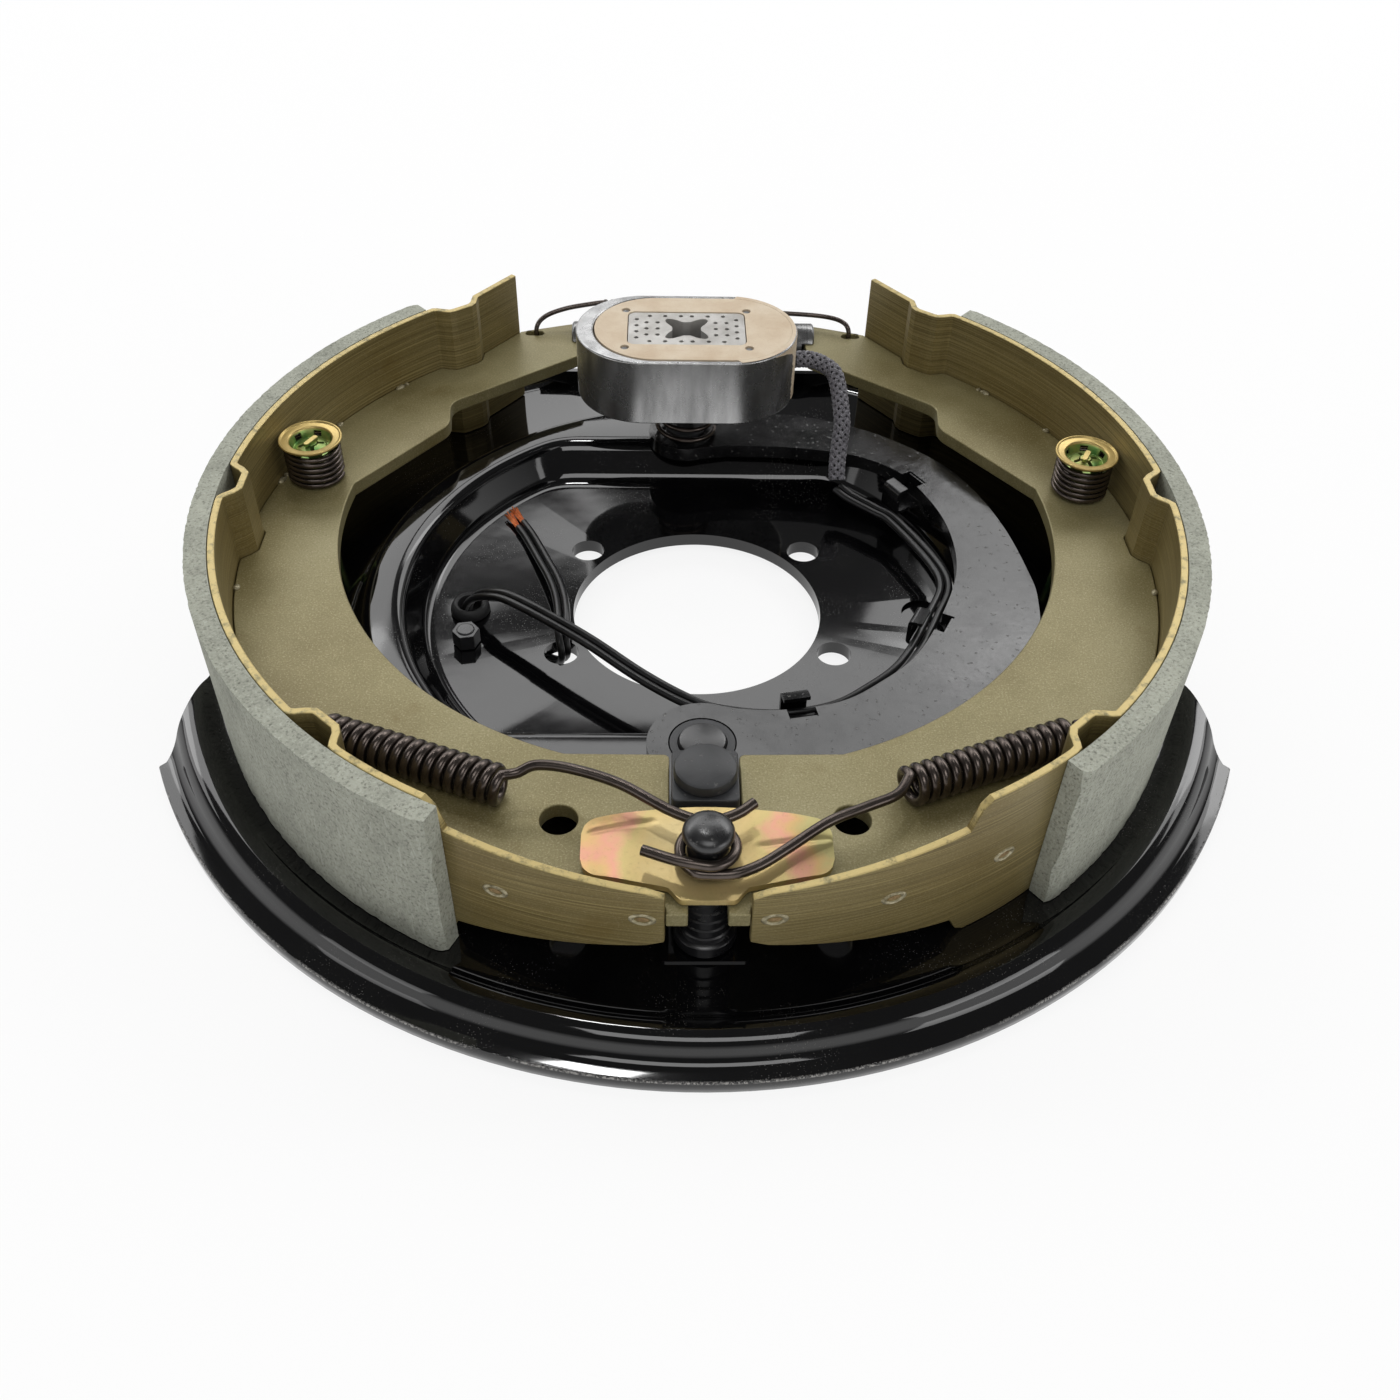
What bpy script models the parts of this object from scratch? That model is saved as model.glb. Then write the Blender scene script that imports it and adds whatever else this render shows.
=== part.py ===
"""Electric drum brake for a trailer axle, 12 inch drum size, lying on its back.

Metres, +Z up. The origin is where the wheel axis meets the surface below the brake.
The anchor post is at -Y, the magnet and the adjuster are at +Y, and the drum would
come down from above. The primary shoe is at +X and the secondary shoe at -X.
"""

import math

import bmesh
import bpy
from mathutils import Matrix, Vector

# Fits
GAP = 0.0003                  # running gap between pieces that touch
PIN_GAP = 0.0003              # radial gap of a pin in its hole

# Shoe sizes that everything round the wheel axis follows
TABLE_RADIUS = 0.1445
TABLE_THICK = 0.0022
SHOE_WIDTH = 0.0508
LINING_THICK = 0.0062
WEB_THICK = 0.0048
TABLE_INNER = TABLE_RADIUS - TABLE_THICK
LINING_INNER = TABLE_RADIUS + GAP
LINING_RADIUS = LINING_INNER + LINING_THICK

# Backing plate, from the rim inwards
PLATE_THICK = 0.0045
TRACK_ROOM = 0.0028           # from the linings to the start of the crest
CREST_RUN = 0.0067
RIM_RUN = 0.0115
TRACK_WIDTH = 0.0383
RING_FALL = 0.0110
RING_WIDTH = 0.0080
DISH_RUN = 0.0090
TRACK_OUTER = LINING_RADIUS + TRACK_ROOM
CREST_RADIUS = TRACK_OUTER + CREST_RUN
RIM_RADIUS = CREST_RADIUS + RIM_RUN
TRACK_INNER = TRACK_OUTER - TRACK_WIDTH
RING_OUTER = TRACK_INNER - RING_FALL
RING_INNER = RING_OUTER - RING_WIDTH
DISC_RADIUS = RING_INNER - DISH_RUN
RIM_TOP = 0.0045
RIM_LAND = 0.005
CREST_TOP = 0.010
TRACK_TOP = 0.0055            # low outer track that the shoes rest on
RING_TOP = 0.019              # raised ring that the lever slides on
DISC_TOP = 0.0075
HUB_HOLE_INSET = 0.0470
HUB_HOLE_RADIUS = DISC_RADIUS - HUB_HOLE_INSET
PLATE_STEPS = 44
FLANK_INSET = 0.0170
FLANK_NEAR_Y = -0.062
FLANK_FAR_INSET = 0.0215
FLANK_FAR_Y = -0.024
FLANK_TIP_INSET = 0.0145
FAR_EDGE_INSET = 0.0078
BOLT_CIRCLE_REACH = 0.0079    # from the edge of the hub hole
BOLT_CIRCLE = HUB_HOLE_RADIUS + BOLT_CIRCLE_REACH
BOLT_HOLE_RADIUS = 0.0055
BOLT_ANGLES = (-90.0, -26.5, 40.0, 140.0, 206.5)
WIRE_HOLE_INSET = 0.0135
WIRE_HOLE_X = DISC_RADIUS - WIRE_HOLE_INSET
WIRE_HOLE_Y = -0.0015
WIRE_HOLE_RADIUS = 0.0066
STUD_HOLE_INSET = 0.0140
STUD_HOLE_X = DISC_RADIUS - STUD_HOLE_INSET
STUD_HOLE_Y = -0.0172
STUD_HOLE_RADIUS = 0.0039
DIMPLE_DEPTH = 0.0014
SLOT_X = 0.010
SLOT_LENGTH = 0.026
SLOT_WIDTH = 0.010
SEAT_WIDTH = 0.024
SEAT_DEPTH = 0.021
SEAT_RISE = 0.0015

# What stands on the line from the anchor post to the adjuster
ANCHOR_INSET = 0.0145         # from the outside of the tables
ANCHOR_Y = ANCHOR_INSET - TABLE_RADIUS
BLOCK_SPACING = 0.0275        # from the anchor post
BLOCK_Y = ANCHOR_Y + BLOCK_SPACING
LEVER_ARM = 0.0250            # from the block to the pivot
PIVOT_Y = BLOCK_Y + LEVER_ARM
MAGNET_INSET = 0.0155         # from the raised ring's inner edge
MAGNET_Y = RING_INNER - MAGNET_INSET
ADJUSTER_INSET = 0.0115
ADJUSTER_Y = TABLE_RADIUS - ADJUSTER_INSET
FAR_WALL_REACH = 0.0095       # the dish wall is straight at the magnet
FAR_WALL_Y = MAGNET_Y - FAR_WALL_REACH
FAR_WALL_SLOPE = 1.3
NEAR_WALL_REACH = 0.0159      # and under the lever's pivot
NEAR_WALL_Y = PIVOT_Y + NEAR_WALL_REACH
NEAR_WALL_SLOPE = 0.89

# Anchor post and guide plate
ANCHOR_RADIUS = 0.0070        # where the webs bear
ANCHOR_NECK_RADIUS = 0.0052   # where the springs hook
ANCHOR_BASE_RADIUS = 0.0082
ANCHOR_BASE_HEIGHT = 0.0040
ANCHOR_FOOT_RADIUS = 0.0062
ANCHOR_HEAD_RADIUS = 0.0064
ANCHOR_HEAD_HEIGHT = 0.0042
ANCHOR_TOP = 0.0502
GUIDE_THICK = 0.0018
GUIDE_HALF_WIDTH = 0.0312
GUIDE_FAR_REACH = 0.0162      # from the post's axis
GUIDE_NEAR_REACH = 0.0020
GUIDE_NOSE_REACH = 0.0115
GUIDE_NOSE_HALF = 0.0135
GUIDE_CORNER = 0.0040
GUIDE_RISE = 0.0022

# Shoes
ADJUSTER_END_X = 0.0465
FORK_DEPTH = 0.0045
TABLE_NEAR_X = 0.0105
TABLE_END_X = 0.0685
TABLE_END_REACH = 0.0030      # past the adjuster's axis
TABLE_END_Y = ADJUSTER_Y + TABLE_END_REACH
TABLE_STEP_ANGLE = 26.5       # degrees from the anchor, where the table gets narrow
TABLE_STEP_TOP = 0.0090
TABLE_STEP_LOW = 0.0062
TABLE_TIP_TOP = 0.0160
TABLE_TIP_LOW = 0.0157
DENT_DEPTH = 0.0050
DENT_HALF_ANGLE = 3.4
DENT_ANGLES = (43.2, 90.5, 142.5)
WEB_DEPTH = 0.0300            # from the table's outside to the web's inner edge
WEB_INNER_RADIUS = TABLE_RADIUS - WEB_DEPTH
WEB_INNER_CENTRE_Y = 0.0176
WEB_NEAR_X = 0.0093
WEB_NEAR_REACH = 0.0113       # past the block's axis
WEB_NEAR_Y = BLOCK_Y + WEB_NEAR_REACH
WEB_TIP_X = 0.00485
WEB_TIP_WIDTH = 0.0054
WEB_TIP_REACH = 0.0140        # past the post's axis
WEB_TIP_Y = ANCHOR_Y - WEB_TIP_REACH
WEB_SHOULDER_REACH = 0.0075
WEB_SHOULDER_Y = ANCHOR_Y + WEB_SHOULDER_REACH
WEB_CORNER_Y = 0.0325
WEB_KNEE_ANGLE = 38.7         # degrees from the +X side, as the next three
WEB_KNEE_INSET = 0.0342
WEB_STEP_ANGLE = 43.5
WEB_STEP_INSET = 0.0239
TOOL_HOLE_ANGLE = -71.8
TOOL_HOLE_INSET = 0.0245
SPRING_HOLE_ANGLE = -40.0
SPRING_HOLE_INSET = 0.0088
WEB_HEEL_X = ADJUSTER_END_X - FORK_DEPTH
WEB_HEEL_DEPTH = 0.0175       # from the adjuster's axis to the web's inner edge
WEB_HEEL_Y = ADJUSTER_Y - WEB_HEEL_DEPTH
WEB_HEEL_CORNER = 0.0030
WEB_HEEL_TOE = 0.0080         # past the end of the table
WEB_HEEL_RUN = 0.0100
WEB_TOOL_RADIUS = 0.0049
SPRING_HOLE_RADIUS = 0.0027
HOOK_SLOT_X = 0.0610
HOOK_SLOT_REACH = 0.0005
HOOK_SLOT_Y = ADJUSTER_Y + HOOK_SLOT_REACH
HOOK_SLOT_LENGTH = 0.0070
HOOK_SLOT_WIDTH = 0.0032
PRIMARY_LINING_ANGLES = (37.5, 138.0)
SECONDARY_LINING_ANGLES = (26.2, 138.0)

# Hold-downs
HOLD_CUP_RADIUS = 0.0102
HOLD_CUP_HEIGHT = 0.0042
HOLD_CUP_THICK = 0.0010
HOLD_RADIUS = TABLE_INNER - HOLD_CUP_RADIUS - 2 * GAP
PRIMARY_HOLD_ANGLE = 14.0
SECONDARY_HOLD_ANGLE = 16.3
HOLD_PIN_RADIUS = 0.0018
HOLD_PIN_HEAD_RADIUS = 0.0040
HOLD_PIN_HEAD = 0.0006
HOLD_WEB_HOLE_RADIUS = 0.0045
HOLD_COIL_RADIUS = 0.0085
HOLD_WIRE = 0.0016
HOLD_TURNS = 6
HOLD_PITCH = 0.00195

# Lever, pivot and block
LEVER_THICK = 0.0048
PIVOT_RADIUS = 0.00675
PIVOT_PROUD = 0.0013
RIVET_HEIGHT = 0.0016
BUSH_RADIUS = 0.0093
LOBE_RADIUS = 0.0157
PIVOT_FOOT_RADIUS = 0.0036
BLOCK_WIDTH = 0.0175
BLOCK_DEPTH = 0.0180
BLOCK_TOP = 0.0380
BLOCK_PIN_RADIUS = 0.0042
BLOCK_HEAD_RADIUS = 0.0083
BLOCK_HEAD_HEIGHT = 0.0034
LEVER_TAIL_RADIUS = 0.0095
LEVER_END_RADIUS = 0.0130
TAB_WIDTH = 0.0080
TAB_THICK = 0.0012
TAB_DROP = 0.0045
TAB_INSET = 0.0012            # how far inside the lever's edge a tab starts
TAB_HEADING_ANGLES = (101.0, 152.6, 212.0)

# Magnet
MAGNET_X = -0.0034
MAGNET_LENGTH = 0.0760
MAGNET_DEPTH = 0.0470
MAGNET_HEIGHT = 0.0235
MAGNET_TOP = 0.0650
MAGNET_FLOOR = 0.0040
FACE_LENGTH = 0.0685
FACE_DEPTH = 0.0430
FACE_SHIFT = 0.0023
FACE_THICK = 0.0030
CORE_LENGTH = 0.0400
CORE_DEPTH = 0.0220
CORE_CORNER = 0.0025
STUD_RADIUS = 0.0032
STUD_TOP = 0.0595
STUD_FLANGE_RADIUS = 0.0070
STUD_FLANGE_HEIGHT = 0.0015
MAGNET_SPRING_WIRE = 0.0018
MAGNET_SPRING_LOW_RADIUS = 0.0105
MAGNET_SPRING_TOP_RADIUS = 0.0070
MAGNET_SPRING_TURNS = 4

# Return springs
COIL_RADIUS = 0.0043
COIL_WIRE = 0.0028
COIL_TURNS = 14
COIL_PITCH = 0.0036
COIL_ANGLE = 21.8             # degrees that the coil turns from the X axis
COIL_END_X_INSET = 0.0055     # from the hole in the web to the end of the coil
COIL_END_Y_INSET = 0.0023

# Adjuster
ADJUSTER_RADIUS = 0.0070
ADJUSTER_SOLID = 0.0120       # solid length behind each fork
SCREW_RADIUS = 0.0048
STUB_RADIUS = 0.0040
STAR_X = 0.0080
STAR_THICK = 0.0045
STAR_RADIUS = 0.0102
STAR_ROOT_RADIUS = 0.0086
STAR_TEETH = 16
ADJUSTER_COIL_RADIUS = 0.0031
ADJUSTER_COIL_WIRE = 0.0018
ADJUSTER_COIL_TURNS = 11
ADJUSTER_COIL_REACH = 0.0082  # past the adjuster's axis
ADJUSTER_COIL_RISE = 0.0060   # above the webs
ADJUSTER_COIL_LEFT = -0.0340
ADJUSTER_COIL_RIGHT = -0.0050

# Leads
LEAD_DIAMETER = 0.0024
LEAD_SPACING = 0.0028
LEAD_PLAY = 0.0011            # room of the pair of leads in a tab
SLEEVE_DIAMETER = 0.0062
STRAND_DIAMETER = 0.0016
STRAND_LENGTH = 0.0080
GROMMET_RADIUS = 0.0090
GROMMET_BORE = 0.0040
GROMMET_LIP = 0.0012

# Heights that follow from the sizes above
SHOE_LOW = TRACK_TOP + GAP
SHOE_TOP = SHOE_LOW + SHOE_WIDTH
WEB_TOP = SHOE_LOW + SHOE_WIDTH / 2 + WEB_THICK / 2
WEB_LOW = WEB_TOP - WEB_THICK
ADJUSTER_Z = WEB_LOW + WEB_THICK / 2
LEVER_LOW = RING_TOP + 2 * GAP
LEVER_TOP = LEVER_LOW + LEVER_THICK
GUIDE_LOW = WEB_TOP + 2 * GAP
MAGNET_LOW = MAGNET_TOP - MAGNET_HEIGHT
TRACK_LOW = TRACK_TOP - PLATE_THICK
DISC_LOW = DISC_TOP - PLATE_THICK
ADJUSTER_COIL_Y = ADJUSTER_Y + ADJUSTER_COIL_REACH
ADJUSTER_COIL_Z = WEB_TOP + ADJUSTER_COIL_RISE


def polar(angle, radius):
    """Place in plan at an angle in degrees from the +X side."""
    turn = math.radians(angle)
    return radius * math.cos(turn), radius * math.sin(turn)


def ring_points(angles, offsets):
    """Places in plan given by angles and by distances outside the raised ring's inner edge."""
    return [polar(angle, RING_INNER + offset) for angle, offset in zip(angles, offsets)]


# Places on the webs
WEB_KNEE = polar(WEB_KNEE_ANGLE, TABLE_RADIUS - WEB_KNEE_INSET)
WEB_STEP = polar(WEB_STEP_ANGLE, TABLE_RADIUS - WEB_STEP_INSET)
WEB_TOOL_HOLE = polar(TOOL_HOLE_ANGLE, TABLE_RADIUS - TOOL_HOLE_INSET)
SPRING_HOLE = polar(SPRING_HOLE_ANGLE, TABLE_RADIUS - SPRING_HOLE_INSET)
HOLD_PLACES = {1: polar(PRIMARY_HOLD_ANGLE, HOLD_RADIUS),
               -1: polar(180.0 - SECONDARY_HOLD_ANGLE, HOLD_RADIUS)}

# Edges of the lever
LEVER_INNER_ANGLES = (-70.5, -57.0, -45.2, -31.1, -11.9, 2.5, 16.8, 29.8, 38.9, 49.5, 63.4, 80.4)
LEVER_INNER_OFFSETS = (-0.0281, -0.0236, -0.0220, -0.0197, -0.0169, -0.0125, -0.0092, -0.0071, -0.0065,
                       -0.0103, -0.0182, -0.0245)
LEVER_OUTER_ANGLES = (77.9, 65.0, 50.9, 36.5, 25.1, 12.6, 0.0, -7.5, -18.3, -31.9, -50.6, -70.0)
LEVER_OUTER_OFFSETS = (-0.0014, 0.0028, 0.0066, 0.0093, 0.0095, 0.0090, 0.0100, 0.0114, 0.0120, 0.0095,
                       0.0044, -0.0002)
LEVER_INNER = ring_points(LEVER_INNER_ANGLES, LEVER_INNER_OFFSETS)
LEVER_OUTER = ring_points(LEVER_OUTER_ANGLES, LEVER_OUTER_OFFSETS)
TAB_ANGLES = (-65.8, -18.8, 33.9)
TAB_OFFSETS = (-0.0270, -0.0190, -0.0071)

# Hooks of the return springs: share of the way from the post to the coil, distance to its
# side, and height above the hook's turn round the post
SECONDARY_HOOK_SHARES = (0.235, 0.484, 0.712, 0.871, 0.943)
SECONDARY_HOOK_BOWS = (0.0055, 0.0078, 0.0072, 0.0052, 0.0024)
SECONDARY_HOOK_RISES = (0.0, 0.0010, 0.0016, 0.0012, -0.0006)
PRIMARY_HOOK_SHARES = (0.053, 0.176, 0.324, 0.547, 0.740, 0.899)
PRIMARY_HOOK_BOWS = (-0.0084, -0.0087, -0.0071, -0.0045, -0.0045, -0.0039)
PRIMARY_HOOK_RISES = (0.0, 0.0003, 0.0010, 0.0024, 0.0034, 0.0036)

# Route of the leads, from the sleeve to the lever, and from the lever to the bare ends
LEAD_START_ANGLES = (47.2, 42.5, 34.7, 26.9)
LEAD_START_OFFSETS = (-0.0226, -0.0225, -0.0210, -0.0191)
LEAD_START_HEIGHTS = (0.0182, 0.0172, 0.0170, 0.0170)
LEAD_CROSSING_ANGLES = (-85.1, -95.2, -111.6, -135.9, -156.9)
LEAD_CROSSING_OFFSETS = (-0.0378, -0.0418, -0.0476, -0.0498, -0.0443)
LEAD_CROSSING_HEIGHTS = (0.0178, 0.0188, 0.0200, 0.0218, 0.0218)
LEAD_TAIL_ANGLES = (-156.2, -167.0, 180.0, 168.1, 157.8, 147.9, 144.4)
LEAD_TAIL_OFFSETS = (-0.0495, -0.0520, -0.0517, -0.0480, -0.0409, -0.0287, -0.0209)
LEAD_TAIL_HEIGHTS = (0.0122, 0.0134, 0.0130, 0.0120, 0.0108, 0.0096, 0.0093)
# Distance from the grommet towards the bolt hole beside it, and height
LEAD_DOWN = ((0.0165, 0.0208), (0.0095, 0.0190), (0.0035, 0.0155), (0.0000, 0.0115), (-0.0016, 0.0075),
             (-0.0012, 0.0044), (0.0012, 0.0021), (0.0045, 0.0015), (0.0110, 0.0015))
# Distance past that bolt hole's centre, and height
LEAD_UP = ((-0.0130, 0.0015), (-0.0067, 0.0015), (-0.0027, 0.0021), (0.0005, 0.0048), (0.0013, 0.0085))
# From the end of the magnet's case, and from the start of the leads
SLEEVE_START = ((0.0003, 0.0025, 0.0520), (0.0054, 0.0029, 0.0518), (0.0106, 0.0025, 0.0500),
                (0.0149, -0.0010, 0.0470))
SLEEVE_END = ((0.0013, 0.0143, 0.0370), (0.0006, 0.0098, 0.0310), (-0.0002, 0.0048, 0.0250),
              (-0.0002, 0.0016, 0.0205))


def clear_scene():
    """Remove what the file starts with."""
    for item in list(bpy.data.objects):
        bpy.data.objects.remove(item, do_unlink=True)


def finish_material(name, colour, roughness, metallic):
    """A Principled surface in one colour."""
    material = bpy.data.materials.new(name)
    material.use_nodes = True
    shader = material.node_tree.nodes["Principled BSDF"]
    shader.inputs["Base Color"].default_value = (*colour, 1.0)
    shader.inputs["Roughness"].default_value = roughness
    shader.inputs["Metallic"].default_value = metallic
    return material


def joint_empty(name, location, parent=None):
    """An empty on a joint's axis, which carries the pieces that move with it."""
    empty = bpy.data.objects.new(name, None)
    bpy.context.collection.objects.link(empty)
    offset = Vector((0.0, 0.0, 0.0))
    if parent:
        empty.parent = parent
        offset = Vector(parent["world"])
    empty.location = Vector(location) - offset
    empty["world"] = tuple(location)
    empty.empty_display_size = 0.02
    return empty


def carried_origin(parent):
    """World place of the empty that a piece hangs on."""
    if parent:
        return Vector(parent["world"])
    return Vector((0.0, 0.0, 0.0))


def add_piece(name, shape, material, parent=None):
    """Turn a bmesh in world coordinates into one named, smooth shaded piece."""
    bmesh.ops.translate(shape, verts=shape.verts, vec=-carried_origin(parent))
    mesh = bpy.data.meshes.new(name)
    shape.to_mesh(mesh)
    shape.free()
    mesh.shade_smooth()
    mesh.set_sharp_from_angle(angle=math.radians(32))
    mesh.materials.append(material)
    piece = bpy.data.objects.new(name, mesh)
    bpy.context.collection.objects.link(piece)
    piece.parent = parent
    return piece


def add_wire(name, points, diameter, material, parent=None, resolution=1):
    """A round wire or lead along a list of points, with closed ends."""
    curve = bpy.data.curves.new(name, "CURVE")
    curve.dimensions = "3D"
    curve.bevel_depth = diameter / 2
    curve.bevel_resolution = resolution
    curve.use_fill_caps = True
    line = curve.splines.new("POLY")
    line.points.add(len(points) - 1)
    origin = carried_origin(parent)
    for spot, place in zip(line.points, points):
        spot.co = (*(Vector(place) - origin), 1.0)
    curve.materials.append(material)
    piece = bpy.data.objects.new(name, curve)
    bpy.context.collection.objects.link(piece)
    piece.parent = parent
    return piece


def combine(target, tool, operation):
    """Cut, join or intersect two bmesh shapes and return the outcome as a bmesh."""
    holders = []
    for label, shape in (("work", target), ("tool", tool)):
        mesh = bpy.data.meshes.new(label)
        shape.to_mesh(mesh)
        shape.free()
        holder = bpy.data.objects.new(label, mesh)
        bpy.context.collection.objects.link(holder)
        holders.append(holder)
    modifier = holders[0].modifiers.new("combine", "BOOLEAN")
    modifier.operation = operation
    modifier.solver = "EXACT"
    modifier.object = holders[1]
    bpy.context.view_layer.update()
    graph = bpy.context.evaluated_depsgraph_get()
    outcome = bmesh.new()
    outcome.from_object(holders[0], graph)
    for holder in holders:
        bpy.data.objects.remove(holder, do_unlink=True)
    bmesh.ops.remove_doubles(outcome, verts=outcome.verts, dist=1e-6)
    return outcome


def arc_points(centre, radius, start, end, steps):
    """Points on an arc, angles in degrees."""
    points = []
    for index in range(steps + 1):
        angle = math.radians(start + (end - start) * index / steps)
        points.append((centre[0] + radius * math.cos(angle), centre[1] + radius * math.sin(angle)))
    return points


def smooth_points(points, steps):
    """A Catmull-Rom curve through points of two or three coordinates."""
    vectors = [Vector(point) for point in points]
    ends = [2 * vectors[0] - vectors[1]] + vectors + [2 * vectors[-1] - vectors[-2]]
    line = []
    for index in range(1, len(ends) - 2):
        before, start, end, after = ends[index - 1:index + 3]
        for step in range(steps):
            t = step / steps
            line.append(0.5 * (2 * start + (end - before) * t
                               + (2 * before - 5 * start + 4 * end - after) * t ** 2
                               + (3 * start - before - 3 * end + after) * t ** 3))
    line.append(vectors[-1])
    return line


def even_points(points, spacing):
    """The same line again, with points at about even distances."""
    lengths = [0.0]
    for start, end in zip(points, points[1:]):
        lengths.append(lengths[-1] + (Vector(end) - Vector(start)).length)
    count = max(2, round(lengths[-1] / spacing))
    line = []
    index = 0
    for step in range(count + 1):
        target = lengths[-1] * step / count
        while index < len(points) - 2 and lengths[index + 1] < target:
            index += 1
        share = (target - lengths[index]) / (lengths[index + 1] - lengths[index])
        line.append(Vector(points[index]).lerp(Vector(points[index + 1]), min(1.0, share)))
    return line


def thin_points(points, reach, sag):
    """The same line with fewer points: straight stretches up to a reach, within a sag."""
    kept = [points[0]]
    start = 0
    for index in range(2, len(points)):
        chord = points[index] - points[start]
        along = chord.normalized()
        off = [point - points[start] for point in points[start + 1:index]]
        worst = max((step - along * step.dot(along)).length for step in off)
        if worst > sag or chord.length > reach:
            start = index - 1
            kept.append(points[start])
    return kept + [points[-1]]


def plate_shape(outline, low, high):
    """A flat outline extruded from one height to another."""
    shape = bmesh.new()
    corners = [shape.verts.new((x, y, low)) for x, y in outline]
    face = shape.faces.new(corners)
    grown = bmesh.ops.extrude_face_region(shape, geom=[face])
    lifted = [item for item in grown["geom"] if isinstance(item, bmesh.types.BMVert)]
    bmesh.ops.translate(shape, verts=lifted, vec=(0.0, 0.0, high - low))
    bmesh.ops.recalc_face_normals(shape, faces=shape.faces)
    return shape


def turned_shape(profile, centre, steps):
    """A profile of radius and height, spun about a vertical axis."""
    shape = bmesh.new()
    corners = [shape.verts.new((radius, 0.0, height)) for radius, height in profile]
    edges = [shape.edges.new(pair) for pair in zip(corners, corners[1:])]
    if min(profile[0][0], profile[-1][0]) > 1e-6:
        edges.append(shape.edges.new((corners[-1], corners[0])))
    bmesh.ops.spin(shape, geom=corners + edges, cent=(0.0, 0.0, 0.0), axis=(0.0, 0.0, 1.0),
                   angle=2 * math.pi, steps=steps, use_merge=True)
    bmesh.ops.remove_doubles(shape, verts=shape.verts, dist=1e-6)
    bmesh.ops.dissolve_degenerate(shape, edges=shape.edges, dist=1e-7)
    bmesh.ops.recalc_face_normals(shape, faces=shape.faces)
    bmesh.ops.translate(shape, verts=shape.verts, vec=(centre[0], centre[1], 0.0))
    return shape


def rod_shape(centre, radius, low, high, steps=24):
    """A plain upright cylinder."""
    return turned_shape(((0.0, low), (radius, low), (radius, high), (0.0, high)), centre, steps)


def lofted_shape(sections):
    """A closed solid through sections that have the same number of corners."""
    shape = bmesh.new()
    rings = [[shape.verts.new(corner) for corner in section] for section in sections]
    for near, far in zip(rings, rings[1:]):
        for index in range(len(near)):
            following = (index + 1) % len(near)
            shape.faces.new((near[index], near[following], far[following], far[index]))
    shape.faces.new(reversed(rings[0]))
    shape.faces.new(rings[-1])
    bmesh.ops.recalc_face_normals(shape, faces=shape.faces)
    return shape


def join_shapes(shapes):
    """Put shapes that do not touch into one bmesh."""
    whole = bmesh.new()
    for shape in shapes:
        mesh = bpy.data.meshes.new("part")
        shape.to_mesh(mesh)
        shape.free()
        whole.from_mesh(mesh)
        bpy.data.meshes.remove(mesh)
    return whole


def rounded_outline(centre, length, depth, corner, steps=6):
    """A rectangle with round corners; a corner of half the depth makes a stadium."""
    points = []
    for sign_x, sign_y, start in ((1, 1, 0), (-1, 1, 90), (-1, -1, 180), (1, -1, 270)):
        hub = (centre[0] + sign_x * (length / 2 - corner), centre[1] + sign_y * (depth / 2 - corner))
        points += arc_points(hub, corner, start, start + 90, steps)
    return points


def soften(shape, width, angle=50.0, segments=1):
    """Break the sharp edges of a shape."""
    limit = math.radians(angle)
    sharp = [edge for edge in shape.edges if edge.is_manifold and edge.calc_face_angle() > limit]
    bmesh.ops.bevel(shape, geom=sharp, offset=width, segments=segments, profile=0.5,
                    affect="EDGES", material=-1, clamp_overlap=True)
    return shape


def offset_line(points, distance):
    """A line moved sideways to its right by a distance, with mitred corners."""
    moved = []
    for index, point in enumerate(points):
        before = Vector(points[max(index - 1, 0)])
        after = Vector(points[min(index + 1, len(points) - 1)])
        here = Vector(point)
        first = (here - before) if index else (after - here)
        second = (after - here) if index < len(points) - 1 else first
        normal_a = Vector((first.y, -first.x)).normalized()
        normal_b = Vector((second.y, -second.x)).normalized()
        mitre = (normal_a + normal_b).normalized()
        moved.append(here + mitre * (distance / mitre.dot(normal_a)))
    return moved


def plate_profile():
    """Cross-section of the pressing, from the hub hole to the rim."""
    top = [(HUB_HOLE_RADIUS, DISC_TOP), (DISC_RADIUS - 0.001, DISC_TOP),
           (DISC_RADIUS + 0.0015, DISC_TOP + 0.0012), (RING_INNER - 0.0025, RING_TOP - 0.0012),
           (RING_INNER, RING_TOP), (RING_OUTER, RING_TOP), (RING_OUTER + 0.0025, RING_TOP - 0.0014),
           (TRACK_INNER - 0.0030, TRACK_TOP + 0.0014), (TRACK_INNER, TRACK_TOP),
           (TRACK_OUTER, TRACK_TOP), (CREST_RADIUS - 0.0030, CREST_TOP - 0.0012),
           (CREST_RADIUS, CREST_TOP), (CREST_RADIUS + 0.0030, CREST_TOP - 0.0014),
           (RIM_RADIUS - RIM_LAND, RIM_TOP), (RIM_RADIUS, RIM_TOP)]
    bottom = [point for index, point in enumerate(offset_line(top, PLATE_THICK)) if index != 12]
    return [tuple(point) for point in top] + [tuple(point) for point in reversed(bottom)]


def straighten_walls(shape):
    """Flatten the dish wall at two places, so the ring widens into platforms."""
    reach = (RING_INNER + RING_OUTER) / 2
    for vert in shape.verts:
        radius = math.hypot(vert.co.x, vert.co.y)
        rise = radius - DISC_RADIUS
        if -PLATE_THICK * 1.5 < rise < reach - DISC_RADIUS:
            vert.co.y = min(vert.co.y, FAR_WALL_Y + rise * FAR_WALL_SLOPE)
            vert.co.y = max(vert.co.y, NEAR_WALL_Y - rise * NEAR_WALL_SLOPE)


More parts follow.
